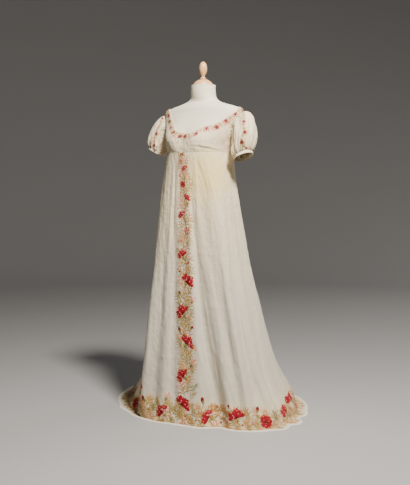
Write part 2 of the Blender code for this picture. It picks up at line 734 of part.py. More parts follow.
def fold_depth(degrees, height):
    """How far the large folds move the cloth outwards, at full strength."""
    degrees = wrapped(degrees)
    down = 1 - height / WAIST_HEIGHT
    total = np.zeros(np.broadcast(degrees, height).shape)
    for _, high, low, depth, width, start in FOLDS:
        centre = high + (low - high) * down
        total = total + depth * bump(degrees - centre, width) * ease(start, start - FOLD_GROWTH, height)
    back = ease(BACK_SEAM - 12.0, BACK_SEAM + 4.0, np.abs(degrees))
    turn = np.radians(180.0 - np.abs(degrees)) * 360.0 / (2 * (180.0 - BACK_SEAM))
    gather = np.cos(BACK_GATHERS * turn) * GATHER_DEPTH * (1 - ease(*GATHERS_END, down))
    flute = np.cos(BACK_FLUTES * turn) * FLUTE_DEPTH * ease(*FLUTES_START, down)
    return total + back * (gather + flute)


def skirt_points(degrees, place):
    """Points of the skirt's inner face. The place is a row of the table, and past its end the hem."""
    degrees, place = np.broadcast_arrays(np.asarray(degrees, float), np.asarray(place, float))
    last = len(SKIRT_ROWS) - 1.0
    height, straight, left, right, folds = np.moveaxis(row_values(SKIRT_ROWS, place), -1, 0)
    waist = body(degrees, row_at(WAIST_HEIGHT))[..., :2]
    waist = waist + body_normal(degrees, row_at(WAIST_HEIGHT))[..., :2] * SEAT
    hem, out = hem_outline(degrees)
    sweep = trumpet(degrees)
    lying = LYING_FRONT + (LYING_BACK - LYING_FRONT) * sweep
    touch = hem - out * lying[..., None]
    side = ease(-0.5, 0.5, -np.sin(np.radians(degrees)))
    share = straight + (left + (right - left) * side - straight) * sweep
    flat = waist + (touch - waist) * share[..., None]
    past = np.clip(place - last, 0.0, 1.0)
    flat = flat + out * (past * (lying - BINDING_WIDTH - SEAM_GAP))[..., None]
    away = unit(out * share[..., None] + unit(waist) * (1 - share)[..., None])
    flat = flat + away * (fold_depth(degrees, height) * folds)[..., None]
    return np.concatenate([flat, np.maximum(height, 0.0)[..., None]], axis=-1)


def skirt_wall(name, start, end, columns, material):
    degrees = np.linspace(start, end, columns)
    places = np.append(np.arange(len(SKIRT_ROWS), dtype=float), len(SKIRT_ROWS))
    turn, place = np.meshgrid(degrees, places, indexing="ij")
    inner = skirt_points(turn, place)
    step = 0.2
    around = skirt_points(turn + step, place) - skirt_points(turn - step, place)
    down = skirt_points(turn, place + 0.05) - skirt_points(turn, place - 0.05)
    normal = unit(np.cross(around, -down))
    normal[:, -2:] = (0.0, 0.0, 1.0)
    outer = inner + normal * CLOTH
    inner[:, 0, 2] = WAIST_HEIGHT - SEAM_GAP / 2
    outer[:, 0, 2] = WAIST_HEIGHT - SEAM_GAP / 2
    wall(name, pull_in(inner), pull_in(outer), material)


def binding_wall(name, start, end, columns, material):
    degrees = np.linspace(start, end, columns)
    hem, out = hem_outline(degrees)
    edges = np.stack([hem - out * BINDING_WIDTH, hem - out * BINDING_WIDTH * 0.25, hem], axis=1)
    lower = np.concatenate([edges, np.zeros(edges.shape[:2] + (1,))], axis=-1)
    heights = np.array([BINDING_WALL, BINDING_WALL, BINDING_WALL * 0.4])
    upper = lower + np.stack([np.zeros(3), np.zeros(3), heights], axis=1)
    wall(name, pull_in(lower), pull_in(upper), material)


def build_skirt(muslin, edging):
    panels = (
        # panel, from, to, columns
        ("front", -SIDE_SEAM, SIDE_SEAM, 39),
        ("side_left", SIDE_SEAM, BACK_SEAM, 13),
        ("back", BACK_SEAM, 360.0 - BACK_SEAM, 33),
        ("side_right", -BACK_SEAM, -SIDE_SEAM, 13),
    )
    for panel, start, end, columns in panels:
        skirt_wall(f"skirt_{panel}", start, end, columns, muslin)
        binding_wall(f"hem_binding_{panel}", start, end, columns, edging)


def main():
    for obj in list(bpy.data.objects):
        bpy.data.objects.remove(obj, do_unlink=True)
    muslin = make_material("muslin", (0.76, 0.70, 0.60), 0.85)
    edging = make_material("edging", (0.84, 0.80, 0.72), 0.8)
    cover = make_material("form_cover", (0.80, 0.77, 0.69), 0.9)
    wood = make_material("turned_wood", (0.70, 0.42, 0.20), 0.4)
    iron = make_material("pole_steel", (0.35, 0.35, 0.36), 0.45)
    build_form(cover, wood, iron)
    build_bodice(muslin)
    build_neckline_band(muslin)
    build_sleeves(muslin)
    build_skirt(muslin, edging)


main()
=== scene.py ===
import json
import math

import bmesh
import bpy
import numpy as np
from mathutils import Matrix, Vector

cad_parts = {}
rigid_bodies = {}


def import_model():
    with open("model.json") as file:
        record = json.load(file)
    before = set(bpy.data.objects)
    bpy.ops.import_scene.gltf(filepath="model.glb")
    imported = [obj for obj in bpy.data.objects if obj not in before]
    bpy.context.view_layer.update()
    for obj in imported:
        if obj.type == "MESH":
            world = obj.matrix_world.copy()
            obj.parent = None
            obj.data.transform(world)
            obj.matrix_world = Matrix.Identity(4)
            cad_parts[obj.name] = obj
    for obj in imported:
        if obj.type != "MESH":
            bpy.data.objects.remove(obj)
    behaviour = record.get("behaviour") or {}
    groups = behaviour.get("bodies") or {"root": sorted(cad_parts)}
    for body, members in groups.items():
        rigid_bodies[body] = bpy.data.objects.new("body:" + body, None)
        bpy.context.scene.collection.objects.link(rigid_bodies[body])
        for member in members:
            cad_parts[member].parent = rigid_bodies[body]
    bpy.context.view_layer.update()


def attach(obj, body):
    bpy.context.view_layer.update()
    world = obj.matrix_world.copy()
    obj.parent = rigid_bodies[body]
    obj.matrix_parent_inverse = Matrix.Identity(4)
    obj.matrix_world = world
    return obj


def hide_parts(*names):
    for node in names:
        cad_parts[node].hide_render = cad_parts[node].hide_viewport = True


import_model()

# A regency gown of embroidered muslin on a limbless dress form. Metres, +Z up,
# +X the wearer's left, -Y the front, the form's pole on the Z axis.

# ---- the figure under the gown ----

figure = {
    # height, half width, front, back, squareness
    "rows": (
        (0.780, 0.160, 0.108, 0.096, 2.2), (0.850, 0.164, 0.112, 0.098, 2.2),
        (0.920, 0.152, 0.114, 0.084, 2.2), (1.000, 0.136, 0.113, 0.066, 2.2),
        (1.070, 0.135, 0.126, 0.056, 2.2), (1.140, 0.143, 0.143, 0.059, 2.2),
        (1.175, 0.151, 0.137, 0.071, 2.25), (1.205, 0.161, 0.128, 0.081, 2.3),
        (1.235, 0.169, 0.112, 0.088, 2.35), (1.262, 0.178, 0.096, 0.089, 2.3),
        (1.284, 0.187, 0.083, 0.087, 2.25), (1.303, 0.193, 0.073, 0.083, 2.15),
        (1.318, 0.187, 0.066, 0.077, 2.1), (1.330, 0.156, 0.058, 0.072, 2.05),
        (1.341, 0.114, 0.051, 0.070, 2.0), (1.351, 0.080, 0.045, 0.069, 2.0),
        (1.361, 0.062, 0.045, 0.064, 2.0), (1.374, 0.0540, 0.048, 0.0575, 2.0),
        (1.396, 0.0525, 0.051, 0.0530, 2.0), (1.422, 0.052, 0.052, 0.052, 2.0),
    ),
    "bustApart": 0.074,
    "bustHeight": 1.188,
    "bustDepth": 0.018,
    "bustSpread": 0.052,
    "bustRise": 0.052,
    "bustDrop": 0.034,
}


def hermite(start, end, leave, arrive, part):  # a smooth curve from its ends and the ways out and in
    return (start * (1 + 2 * part) * (1 - part) ** 2 + leave * part * (1 - part) ** 2
            + end * part**2 * (3 - 2 * part) - arrive * part**2 * (1 - part))


def rowValues(rows, place):  # every column at a fractional row, on a smooth curve
    rows = np.array(rows, float)
    place = np.clip(np.asarray(place, float), 0.0, len(rows) - 1.0)
    low = np.minimum(place.astype(int), len(rows) - 2)
    before, here = rows[np.maximum(low - 1, 0)], rows[low]
    after, beyond = rows[low + 1], rows[np.minimum(low + 2, len(rows) - 1)]
    return hermite(here, after, (after - before) / 2, (beyond - here) / 2, (place - low)[..., None])


def runAlong(line):  # the distance to each point of a line
    return np.concatenate([[0.0], np.cumsum(np.linalg.norm(np.diff(line, axis=0), axis=1))])


def ease(low, high, value):  # 0 below low, 1 above high, smooth between
    part = np.clip((np.asarray(value, float) - low) / (high - low), 0.0, 1.0)
    return part * part * (3 - 2 * part)


def bump(distance, halfWidth):  # a soft hump, 0 from twice the half width on
    part = np.clip(np.abs(distance) / (2 * halfWidth), 0.0, 1.0)
    return (1 - part * part) ** 3


def wrapped(degrees):  # the same angle between -180 and 180
    return (np.asarray(degrees, float) + 180.0) % 360.0 - 180.0


def unit(vectors):
    return vectors / np.maximum(np.linalg.norm(vectors, axis=-1, keepdims=True), 1e-12)


def lattice(x, y, seed):  # a fixed random number for each whole point
    value = np.sin(x * 127.1 + y * 311.7 + seed * 74.7) * 43758.5453
    return value - np.floor(value)


def softNoise(x, y, seed):  # smooth noise from -1 to 1
    x, y = np.broadcast_arrays(np.asarray(x, float), np.asarray(y, float))
    x0, y0 = np.floor(x), np.floor(y)
    fx, fy = x - x0, y - y0
    fx, fy = fx * fx * (3 - 2 * fx), fy * fy * (3 - 2 * fy)
    low = lattice(x0, y0, seed) * (1 - fx) + lattice(x0 + 1, y0, seed) * fx
    high = lattice(x0, y0 + 1, seed) * (1 - fx) + lattice(x0 + 1, y0 + 1, seed) * fx
    return (low * (1 - fy) + high * fy) * 2 - 1


rowSteps = np.linspace(0.0, len(figure["rows"]) - 1.0, 400)
rowHeights = rowValues(figure["rows"], rowSteps)[:, 0]


def rowAt(height):
    return np.interp(height, rowHeights, rowSteps)


def body(degrees, place):  # the figure's surface, by degrees from the front and by row
    degrees, place = np.broadcast_arrays(np.asarray(degrees, float), np.asarray(place, float))
    values = rowValues(figure["rows"], place)
    height, halfWidth, front, back, square = np.moveaxis(values, -1, 0)
    angle = np.radians(degrees)
    across = np.sign(np.sin(angle)) * np.abs(np.sin(angle)) ** (2 / square)
    along = -np.sign(np.cos(angle)) * np.abs(np.cos(angle)) ** (2 / square)
    x = halfWidth * across
    y = np.where(along < 0, front, back) * along
    sides = np.exp(-(((np.abs(x) - figure["bustApart"]) / figure["bustSpread"]) ** 2))
    fade = np.where(height > figure["bustHeight"], figure["bustRise"], figure["bustDrop"])
    rise = np.exp(-(((height - figure["bustHeight"]) / fade) ** 2))
    y = y - figure["bustDepth"] * sides * rise * np.clip(-along, 0.0, 1.0)
    return np.stack([x, y, height], axis=-1)


def bodyNormal(degrees, place):
    turn = body(degrees + 0.5, place) - body(degrees - 0.5, place)
    rise = body(degrees, place + 0.02) - body(degrees, place - 0.02)
    return unit(np.cross(turn, rise))


# ---- meshes ----

doubledPoints = 0.00002  # points nearer than this are one


def gridNormals(grid):  # columns run round and rows run down
    return unit(np.cross(np.gradient(grid, axis=1), np.gradient(grid, axis=0)))


def arcLengths(grid, axis):
    step = np.linalg.norm(np.diff(grid, axis=axis), axis=-1)
    start = np.zeros_like(np.take(step, [0], axis=axis))
    return np.concatenate([start, np.cumsum(step, axis=axis)], axis=axis)


def gridFaces(columns, rows, start=0, flip=False):
    column, row = np.meshgrid(np.arange(columns - 1), np.arange(rows - 1), indexing="ij")
    a = start + column * rows + row
    quads = np.stack([a, a + 1, a + rows + 1, a + rows], axis=-1).reshape(-1, 4)
    return quads[:, ::-1] if flip else quads


def meshObject(name, points, faces=(), material=None, smooth=True):
    mesh = bpy.data.meshes.new(name)
    mesh.from_pydata(points.tolist(), [], [list(map(int, face)) for face in faces])
    if smooth:
        mesh.shade_smooth()
    if material:
        mesh.materials.append(material)
    obj = bpy.data.objects.new(name, mesh)
    bpy.context.scene.collection.objects.link(obj)
    return obj


def cleanUp(obj, sharpAngle):  # joins doubled points, turns the faces outwards and marks the sharp edges
    shape = bmesh.new()
    shape.from_mesh(obj.data)
    bmesh.ops.remove_doubles(shape, verts=shape.verts, dist=doubledPoints)
    bmesh.ops.recalc_face_normals(shape, faces=shape.faces)
    if shape.calc_volume(signed=True) < 0:
        bmesh.ops.reverse_faces(shape, faces=shape.faces)
    shape.to_mesh(obj.data)
    shape.free()
    obj.data.set_sharp_from_angle(angle=math.radians(sharpAngle))
    return obj


def addPointValues(mesh, name, values, kind="FLOAT"):
    layer = mesh.attributes.new(name, kind, "POINT")
    key = {"FLOAT_VECTOR": "vector", "FLOAT_COLOR": "color"}.get(kind, "value")
    number = np.int32 if kind == "INT" else np.float32
    layer.data.foreach_set(key, np.ascontiguousarray(values, dtype=number).ravel())


def addUv(mesh, name, uv):  # uv by point
    layer = mesh.uv_layers.new(name=name)
    loops = np.zeros(len(mesh.loops), np.int32)
    mesh.loops.foreach_get("vertex_index", loops)
    layer.data.foreach_set("uv", np.ascontiguousarray(uv[loops], np.float32).ravel())


def makeShell(name, inner, outer, material, gap, inside=-1.0, closed=False):
    # a thin closed wall of cloth between two grids; its weave map is in metres. gap is the distance
    # from the nearest seam, and inside the distance within the front panel's edge
    columns, rows = outer.shape[:2]
    count = columns * rows
    points = np.concatenate([outer.reshape(-1, 3), inner.reshape(-1, 3)])
    faces = [gridFaces(columns, rows), gridFaces(columns, rows, count, True)]
    column, row = np.arange(columns - 1), np.arange(rows - 1)
    for edge, flip in ((0, True), (rows - 1, False)):
        a = column * rows + edge
        quad = np.stack([a, a + rows, a + rows + count, a + count], axis=-1)
        faces.append(quad[:, ::-1] if flip else quad)
    if not closed:
        for edge, flip in ((0, False), (columns - 1, True)):
            a = edge * rows + row
            quad = np.stack([a, a + 1, a + 1 + count, a + count], axis=-1)
            faces.append(quad[:, ::-1] if flip else quad)
    obj = meshObject(name, points, np.concatenate(faces), material)
    around = arcLengths(outer, 0)
    uv = np.stack([around - around[columns // 2][None], -arcLengths(outer, 1)], axis=-1)
    addUv(obj.data, "weave", np.concatenate([uv.reshape(-1, 2)] * 2))
    for key, value in (("seamGap", gap), ("panelEdge", inside)):
        value = np.broadcast_to(value, (columns, rows))
        addPointValues(obj.data, key, np.concatenate([value.ravel()] * 2))
    return cleanUp(obj, 70)


def turnedGrid(radii, heights, steps):  # a profile spun about the pole's axis
    angles = np.linspace(0, 2 * math.pi, steps + 1)
    return np.stack([np.outer(np.cos(angles), radii), np.outer(np.sin(angles), radii),
                     np.tile(heights, (steps + 1, 1))], axis=-1)


def turned(name, profile, material, steps=96, tip=None):  # turned; its tip may be above its rim
    radii, heights = np.array(profile, float).T
    tip = heights[-1] if tip is None else tip
    grid = turnedGrid([0.0, *radii, 0.0], [heights[0], *heights, tip], steps)
    obj = meshObject(name, grid.reshape(-1, 3), gridFaces(*grid.shape[:2], flip=True), material)
    return cleanUp(obj, 42)


def smoothProfile(profile, count):  # a fine profile through the turning's own points
    return [tuple(row) for row in rowValues(profile, np.linspace(0, len(profile) - 1, count))]


# ---- materials ----

class Nodes:  # short calls for building a node tree
    def __init__(self, tree):
        self.tree = tree

    def put(self, socket, value):
        if isinstance(value, bpy.types.NodeSocket):
            self.tree.links.new(value, socket)
        else:
            socket.default_value = value

    def add(self, kind, inputs=None, out=0, **settings):
        node = self.tree.nodes.new(kind)
        for key, value in settings.items():
            setattr(node, key, value)
        for key, value in (inputs or {}).items():
            self.put(node.inputs[key], value)
        return node.outputs[out]

    def math(self, operation, a, b=0.0):
        return self.add("ShaderNodeMath", {0: a, 1: b, 2: 0.0}, operation=operation)

    def times(self, a, b):
        return self.math("MULTIPLY", a, b)

    def plus(self, a, b):
        return self.math("ADD", a, b)

    def vector(self, operation, inputs, out=0):
        return self.add("ShaderNodeVectorMath", inputs, out=out, operation=operation)

    def axis(self, vector, number):  # one number of a vector
        return self.add("ShaderNodeSeparateXYZ", {0: vector}, out=number)

    def noise(self, vector, scale, detail=3.0, roughness=0.5, distortion=0.0):
        return self.add("ShaderNodeTexNoise", {
            "Vector": vector, "Scale": scale, "Detail": detail,
            "Roughness": roughness, "Distortion": distortion})

    def stretch(self, vector, scale=(1, 1, 1), place=(0, 0, 0), turn=(0, 0, 0)):
        return self.add("ShaderNodeMapping", {
            "Vector": vector, "Scale": scale, "Location": place, "Rotation": turn})

    def ramp(self, value, low, high, start=0.0, end=1.0, kind="LINEAR"):  # held at its ends
        return self.add("ShaderNodeMapRange", {
            "Value": value, "From Min": low, "From Max": high, "To Min": start, "To Max": end},
            interpolation_type=kind)

    def softRamp(self, value, *ends):
        return self.ramp(value, *ends, kind="SMOOTHSTEP")

    def mix(self, share, a, b, blend="MIX"):
        node = self.tree.nodes.new("ShaderNodeMix")
        node.data_type = "RGBA"
        node.blend_type = blend
        node.clamp_factor = True
        for socket, value in zip((node.inputs[0], node.inputs[6], node.inputs[7]), (share, a, b)):
            self.put(socket, value)
        return node.outputs[2]

    def raised(self, height, distance, strength=1.0, normal=None):
        inputs = {"Height": height, "Distance": distance, "Strength": strength}
        if normal is not None:
            inputs["Normal"] = normal
        return self.add("ShaderNodeBump", inputs)


def newMaterial(name, roughness, fixed):  # the material, its shader, its nodes and the place in space
    material = bpy.data.materials.new(name)
    material.use_nodes = True
    shader = material.node_tree.nodes["Principled BSDF"]
    for socket, value in {"Roughness": roughness, **fixed}.items():
        shader.inputs[socket].default_value = value
    n = Nodes(material.node_tree)
    return material, shader, n, n.add("ShaderNodeTexCoord", out=3)


def rgb(red, green, blue):
    return (red, green, blue, 1.0)


muslin = {
    "ivory": rgb(0.805, 0.690, 0.475),
    "shade": rgb(0.690, 0.560, 0.350),
    "yellowed": rgb(0.780, 0.600, 0.250),
    # a brown for the painted shade under the arms, the seams and the darkening near the floor
    "shadeAndSeamBrown": rgb(0.52, 0.37, 0.22),
    "panel": rgb(0.81, 0.73, 0.575),
    # painted shade: the grey of the skirt's dark inside seen through the thin cloth
    "insideShadeGrey": rgb(0.560, 0.530, 0.470),
    "threadPitch": 0.0008,   # metres from thread to thread
    "slub": (0.0030, 0.075),   # width and length
    "stainCentre": (0.098, -0.10, 1.035),
    "stainReach": (0.105, 0.12, 0.135),
    "armShadeAcross": (0.175, 0.042),   # where painted shade darkens the cloth under the arms, between sleeve and bodice: centre, reach
    "armShadeUp": (1.175, 0.07),
    "insideShadeFrom": (0.42, 0.98),   # heights between which the form stops backing the cloth and painted shade of the skirt's dark inside comes in
    "workedHem": (0.06, 0.16),
    "nearFloorHeight": 0.05,
    "seamWidth": 0.0022,
}


def makeMuslin(name, ivory, shade, roughness=0.82):
    material, shader, n, place = newMaterial(name, roughness, {
        "Sheen Weight": 0.22, "Sheen Roughness": 0.45, "Specular IOR Level": 0.28})
    height = n.axis(place, 2)
    weave = n.add("ShaderNodeUVMap", uv_map="weave")
    # slubs run both ways through the cloth
    wide, long = muslin["slub"]
    slubs = n.plus(n.noise(n.stretch(weave, (1 / wide, 1 / long, 1)), 1.0, 2.0),
                   n.noise(n.stretch(weave, (1 / long, 1 / wide, 1)), 1.0, 2.0))
    cloudy = n.noise(place, 5.0, 4.0, 0.55, 0.6)
    tone = n.plus(n.times(slubs, 0.75), n.times(cloudy, 0.45))
    colour = n.mix(n.ramp(tone, 0.72, 1.16), shade, ivory)
    # an old stain below the bust on the wearer's left
    reach = muslin["stainReach"]
    stain = n.stretch(place, [1 / r for r in reach], [-c / r for c, r in zip(muslin["stainCentre"], reach)])
    edge = n.plus(n.vector("LENGTH", {0: stain}, out=1), n.times(n.noise(place, 16.0, 4.0, 0.6), 0.9))
    colour = n.mix(n.softRamp(edge, 0.75, 1.60, 0.85, 0.0), colour, muslin["yellowed"])
    # painted shade under the arms, where the sleeves meet the bodice
    offArmShade = [n.math("DIVIDE", n.math("SUBTRACT", value, centre), far) for value, (centre, far) in (
        (n.math("ABSOLUTE", n.axis(place, 0)), muslin["armShadeAcross"]), (height, muslin["armShadeUp"]))]
    armShadeFar = n.math("SQRT", n.plus(*(n.times(off, off) for off in offArmShade)))
    colour = n.mix(n.softRamp(armShadeFar, 0.2, 1.2, 0.30, 0.0), colour, muslin["shadeAndSeamBrown"])
    # below the hips nothing backs the thin cloth, and painted shade greys it for the skirt's dark inside
    # showing through, down to the worked hem
    insideShade = n.times(n.softRamp(height, *muslin["insideShadeFrom"], 1.0, 0.0),
                       n.softRamp(height, *muslin["workedHem"], 0.0, 0.62))
    colour = n.mix(insideShade, colour, muslin["insideShadeGrey"])
    # darker and mottled in the last few centimetres towards the floor
    nearFloorMottle = n.times(n.softRamp(height, 0.0, muslin["nearFloorHeight"], 0.22, 0.0), n.noise(place, 30.0, 4.0, 0.6))
    colour = n.mix(nearFloorMottle, colour, muslin["shadeAndSeamBrown"])
    # the front panel is a little lighter, with a fine seam at each side
    inside = n.add("ShaderNodeAttribute", out=2, attribute_name="panelEdge")
    colour = n.mix(n.softRamp(inside, -0.0005, 0.0015, 0.0, 0.4), colour, muslin["panel"])
    seam = n.add("ShaderNodeAttribute", out=2, attribute_name="seamGap")
    seamLine = n.softRamp(n.math("ABSOLUTE", seam), 0.0003, muslin["seamWidth"], 0.36, 0.0)
    n.put(shader.inputs["Base Color"], n.mix(seamLine, colour, muslin["shadeAndSeamBrown"]))
    # threads, slubs, rumples and seams in the surface
    turns = 2 * math.pi / muslin["threadPitch"]
    warp, weft = (n.math("SINE", n.times(n.axis(weave, way), turns)) for way in (0, 1))
    rumple = n.noise(n.stretch(weave, (30, 13, 1)), 1.0, 4.0, 0.6, 0.4)
    crumple = n.noise(n.stretch(weave, (85, 48, 1)), 1.0, 3.0, 0.6, 0.6)
    surface = None
    for relief, distance, strength in (
            (n.times(warp, weft), 0.00004, 0.35), (slubs, 0.0007, 0.7), (rumple, 0.0060, 0.8),
            (crumple, 0.0022, 0.8), (seamLine, 0.0011, 0.9)):
        surface = n.raised(relief, distance, strength, surface)
    n.put(shader.inputs["Normal"], surface)
    return material


stitchPitch = 0.00085  # metres from one thread of satin stitch to the next


def makeThread():  # twisted embroidery cotton and silk, its colour kept by point
    material, shader, n, place = newMaterial("embroideryThread", 0.58, {
        "Sheen Weight": 0.06, "Sheen Roughness": 0.35, "Specular IOR Level": 0.25})
    colour = n.add("ShaderNodeAttribute", attribute_name="thread")
    faded = n.noise(place, 60.0, 3.0, 0.6)
    stitch = n.add("ShaderNodeAttribute", out=1, attribute_name="stitch")
    line = n.math("SINE", n.times(n.axis(stitch, 0), 2 * math.pi / stitchPitch))
    # faded patches are the thread's own colour; the stripes along each stitch line are painted shade
    # between the satin threads
    shade = n.plus(n.times(faded, 0.24), n.times(line, 0.07))
    colour = n.mix(n.ramp(shade, 0.02, 0.22, 0.0, 0.30), colour, rgb(0.75, 0.66, 0.55), "MULTIPLY")
    n.put(shader.inputs["Base Color"], colour)
    n.put(shader.inputs["Normal"], n.raised(line, 0.00016, 0.8))
    return material


def makeJersey():  # the knitted cover stretched over the form
    material, shader, n, place = newMaterial("formJersey", 0.86, {
        "Sheen Weight": 0.18, "Sheen Roughness": 0.5})
    cloudy = n.noise(place, 9.0, 4.0, 0.6)
    knit = n.noise(n.stretch(place, (900, 900, 420)), 1.0, 1.0)
    colour = n.mix(n.ramp(cloudy, 0.3, 0.75), rgb(0.780, 0.690, 0.515), rgb(0.845, 0.765, 0.590))
    colour = n.mix(n.ramp(knit, 0.3, 0.7, 0.0, 0.10), colour, rgb(0.62, 0.57, 0.47))
    n.put(shader.inputs["Base Color"], colour)
    surface = n.raised(knit, 0.0001, 0.5)
    n.put(shader.inputs["Normal"], n.raised(cloudy, 0.0012, 0.25, surface))
    return material


def makeWood():  # waxed beech, its grain up the pole
    material, shader, n, place = newMaterial("turnedBeech", 0.34, {
        "Coat Weight": 0.3, "Coat Roughness": 0.22})
    grain = n.noise(n.stretch(place, (120, 120, 9)), 1.0, 5.0, 0.6, 1.4)
    flecks = n.noise(n.stretch(place, (700, 700, 60)), 1.0, 2.0)
    colour = n.mix(n.ramp(grain, 0.28, 0.72), rgb(0.60, 0.30, 0.12), rgb(0.80, 0.50, 0.26))
    colour = n.mix(n.ramp(flecks, 0.60, 0.75, 0.0, 0.35), colour, rgb(0.36, 0.17, 0.07))
    n.put(shader.inputs["Base Color"], colour)
    n.put(shader.inputs["Normal"], n.raised(grain, 0.0002, 0.35))
    return material


def makeSteel():
    material, shader, n, place = newMaterial("poleSteel", 0.38, {"Metallic": 1.0})
    brushed = n.noise(n.stretch(place, (240, 240, 900)), 1.0, 3.0)
    n.put(shader.inputs["Base Color"], n.mix(brushed, rgb(0.30, 0.30, 0.31), rgb(0.42, 0.42, 0.43)))
    n.put(shader.inputs["Normal"], n.raised(brushed, 0.0001, 0.3))
    return material


muslinCloth = makeMuslin("muslinCloth", muslin["ivory"], muslin["shade"])
edgeCloth = makeMuslin("edgeCloth", rgb(0.84, 0.80, 0.70), rgb(0.74, 0.69, 0.58), 0.78)
threadCotton = makeThread()
formJersey = makeJersey()
turnedBeech = makeWood()
poleSteel = makeSteel()
print("materials made")


# ---- the dress form ----

form = {
    "ease": 0.0024,      # the form is this much smaller than the gown, except at the shoulders
    "shoulder": 1.298,
    "cap": ((0.0400, 0.0), (0.0412, 0.0022), (0.0380, 0.0085), (0.0290, 0.0165),
            (0.0180, 0.0220), (0.0100, 0.0240)),
    "finial": ((0.0105, 0.0), (0.0128, 0.0020), (0.0118, 0.0050), (0.0068, 0.0090),
               (0.0080, 0.0140), (0.0120, 0.0210), (0.0158, 0.0310), (0.0170, 0.0420),
               (0.0160, 0.0540), (0.0120, 0.0650), (0.0060, 0.0715)),
    "finialTip": 0.0735,
    "base": ((0.114, 0.0), (0.118, 0.0040), (0.118, 0.0140), (0.090, 0.0220),
             (0.045, 0.0280), (0.024, 0.0400), (0.022, 0.0600)),
    "poleRadius": 0.0125,
    "joint": 0.0003,
}
torsoFoot, neckTop = figure["rows"][0][0], figure["rows"][-1][0]


def buildTorso():
    angles = np.linspace(0, 360, 161)
    last = len(figure["rows"]) - 1
    places = np.concatenate([np.linspace(0, 12, 90), np.linspace(12.12, last, 75)])
    turn, place = np.meshgrid(angles, places, indexing="ij")
    shoulder = rowAt(form["shoulder"])
    inset = form["ease"] * (1 - ease(shoulder + 0.8, shoulder + 2.2, place))
    points = body(turn, place) - bodyNormal(turn, np.clip(place, 0.1, last - 0.1)) * inset[..., None]
    points[:, 0, 2], points[:, -1, 2] = torsoFoot, neckTop
    foot, top = points[:, :1] * (0, 0, 1), points[:, -1:] * (0, 0, 1)
    rim = points[:, -1:] * (0.96, 0.96, 1)
    grid = np.concatenate([foot, points, rim, top], axis=1)
    faces = gridFaces(*grid.shape[:2], flip=True)
    return cleanUp(meshObject("dressFormTorso", grid.reshape(-1, 3), faces, formJersey), 50)


capFoot = neckTop + form["joint"]
finialFoot = neckTop + form["cap"][-1][1] + 2 * form["joint"]
torso = buildTorso()
cap = turned("neckCap", [(r, capFoot + z) for r, z in smoothProfile(form["cap"], 40)], turnedBeech)
finial = turned("finialKnob", [(r, finialFoot + z) for r, z in smoothProfile(form["finial"], 90)],
                turnedBeech, tip=finialFoot + form["finialTip"])
base = turned("formFoot", smoothProfile(form["base"], 48), turnedBeech)
poleFoot = form["base"][-1][1] + form["joint"]
poleEnds = [(form["poleRadius"], poleFoot), (form["poleRadius"], torsoFoot - form["joint"])]
pole = turned("formPole", poleEnds, poleSteel, steps=48)
for piece, node, slot in ((torso, "form_torso", "form_cover"), (cap, "form_neck_cap", "turned_wood"),
                          (finial, "form_finial", "turned_wood"), (base, "form_base", "turned_wood"),
                          (pole, "form_pole", "pole_steel")):
    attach(piece, "root")
    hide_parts(node)
print("dress form made")


# ---- the bodice and its neckline band ----

bodice = {
    "seat": 0.0021,       # from the figure to the inner face
    "cloth": 0.0010,
    "seam": 0.0003,
    "waist": 1.140,
    "sideSeam": 80.0,
    "bandWidth": 0.018,   # at the shoulders and back
    "frontWidth": 0.028,
    "taper": (45.0, 78.0),
    "neckline": (         # degrees from the centre front, height on the wearer's left and right
        (0.0, 1.2160, 1.2160), (13.0, 1.2190, 1.2280), (27.0, 1.2430, 1.2640), (45.0, 1.2550, 1.3120),
        (65.0, 1.2890, 1.3235), (80.0, 1.3130, 1.3245), (90.0, 1.3200, 1.3225), (100.0, 1.3170, 1.3185),
        (125.0, 1.3000, 1.3005), (152.0, 1.2860, 1.2860), (180.0, 1.2800, 1.2800)),
    "gathers": 11,        # small folds fanning out below the centre front
    "gatherDepth": 0.0016,
    # depth, reach, from and to below the edge
    "clefts": ((0.0010, 0.0085, 0.010, 0.035), (0.0002, 0.022, 0.015, 0.050)),
    "deepest": -0.0016,   # creases go no nearer the figure than this
    "roll": (0.9, 0.06, 0.07),   # the drawn edge's swell, and where and how wide it is
}
armhole = {"height": 1.2445, "halfHeight": 0.0535, "centre": -0.002, "back": 0.048,
           "front": {"left": 0.028, "right": 0.050}}


def rowBelow(degrees, place, distances):  # rows this far down the figure from others
    steps = np.linspace(0.0, 6.0, 241)
    found = []
    for angle, start, distance in zip(degrees, place, distances):
        found.append(start - np.interp(distance, runAlong(body(angle, start - steps)), steps))
    return np.array(found)


def bandWidth(degrees):
    narrow = ease(*bodice["taper"], np.abs(degrees))
    return bodice["frontWidth"] + (bodice["bandWidth"] - bodice["frontWidth"]) * narrow


def necklineRow(degrees):  # angles below 0 are on the wearer's right
    angles = np.array([row[0] for row in bodice["neckline"]])
    place = np.interp(np.abs(degrees), angles, np.arange(len(angles), dtype=float))
    heights = rowValues(bodice["neckline"], place)
    return rowAt(np.where(np.asarray(degrees) < 0, heights[..., 2], heights[..., 1]))


def armholePoint(turn, side):  # degrees and row; a turn of 0 is the top and 90 the front
    turn = np.radians(turn)
    height = armhole["height"] + armhole["halfHeight"] * np.cos(turn)
    reach = np.where(np.sin(turn) > 0, armhole["front"][side], armhole["back"])
    y = armhole["centre"] - reach * np.sin(turn)
    place = rowAt(height)
    _, _, front, back, square = np.moveaxis(rowValues(figure["rows"], place), -1, 0)
    depth = np.where(y < 0, front, back)
    lean = np.degrees(np.arccos(np.clip(np.abs(y) / depth, 0.0, 1.0) ** (square / 2)))
    return np.where(y < 0, lean, 180.0 - lean), place


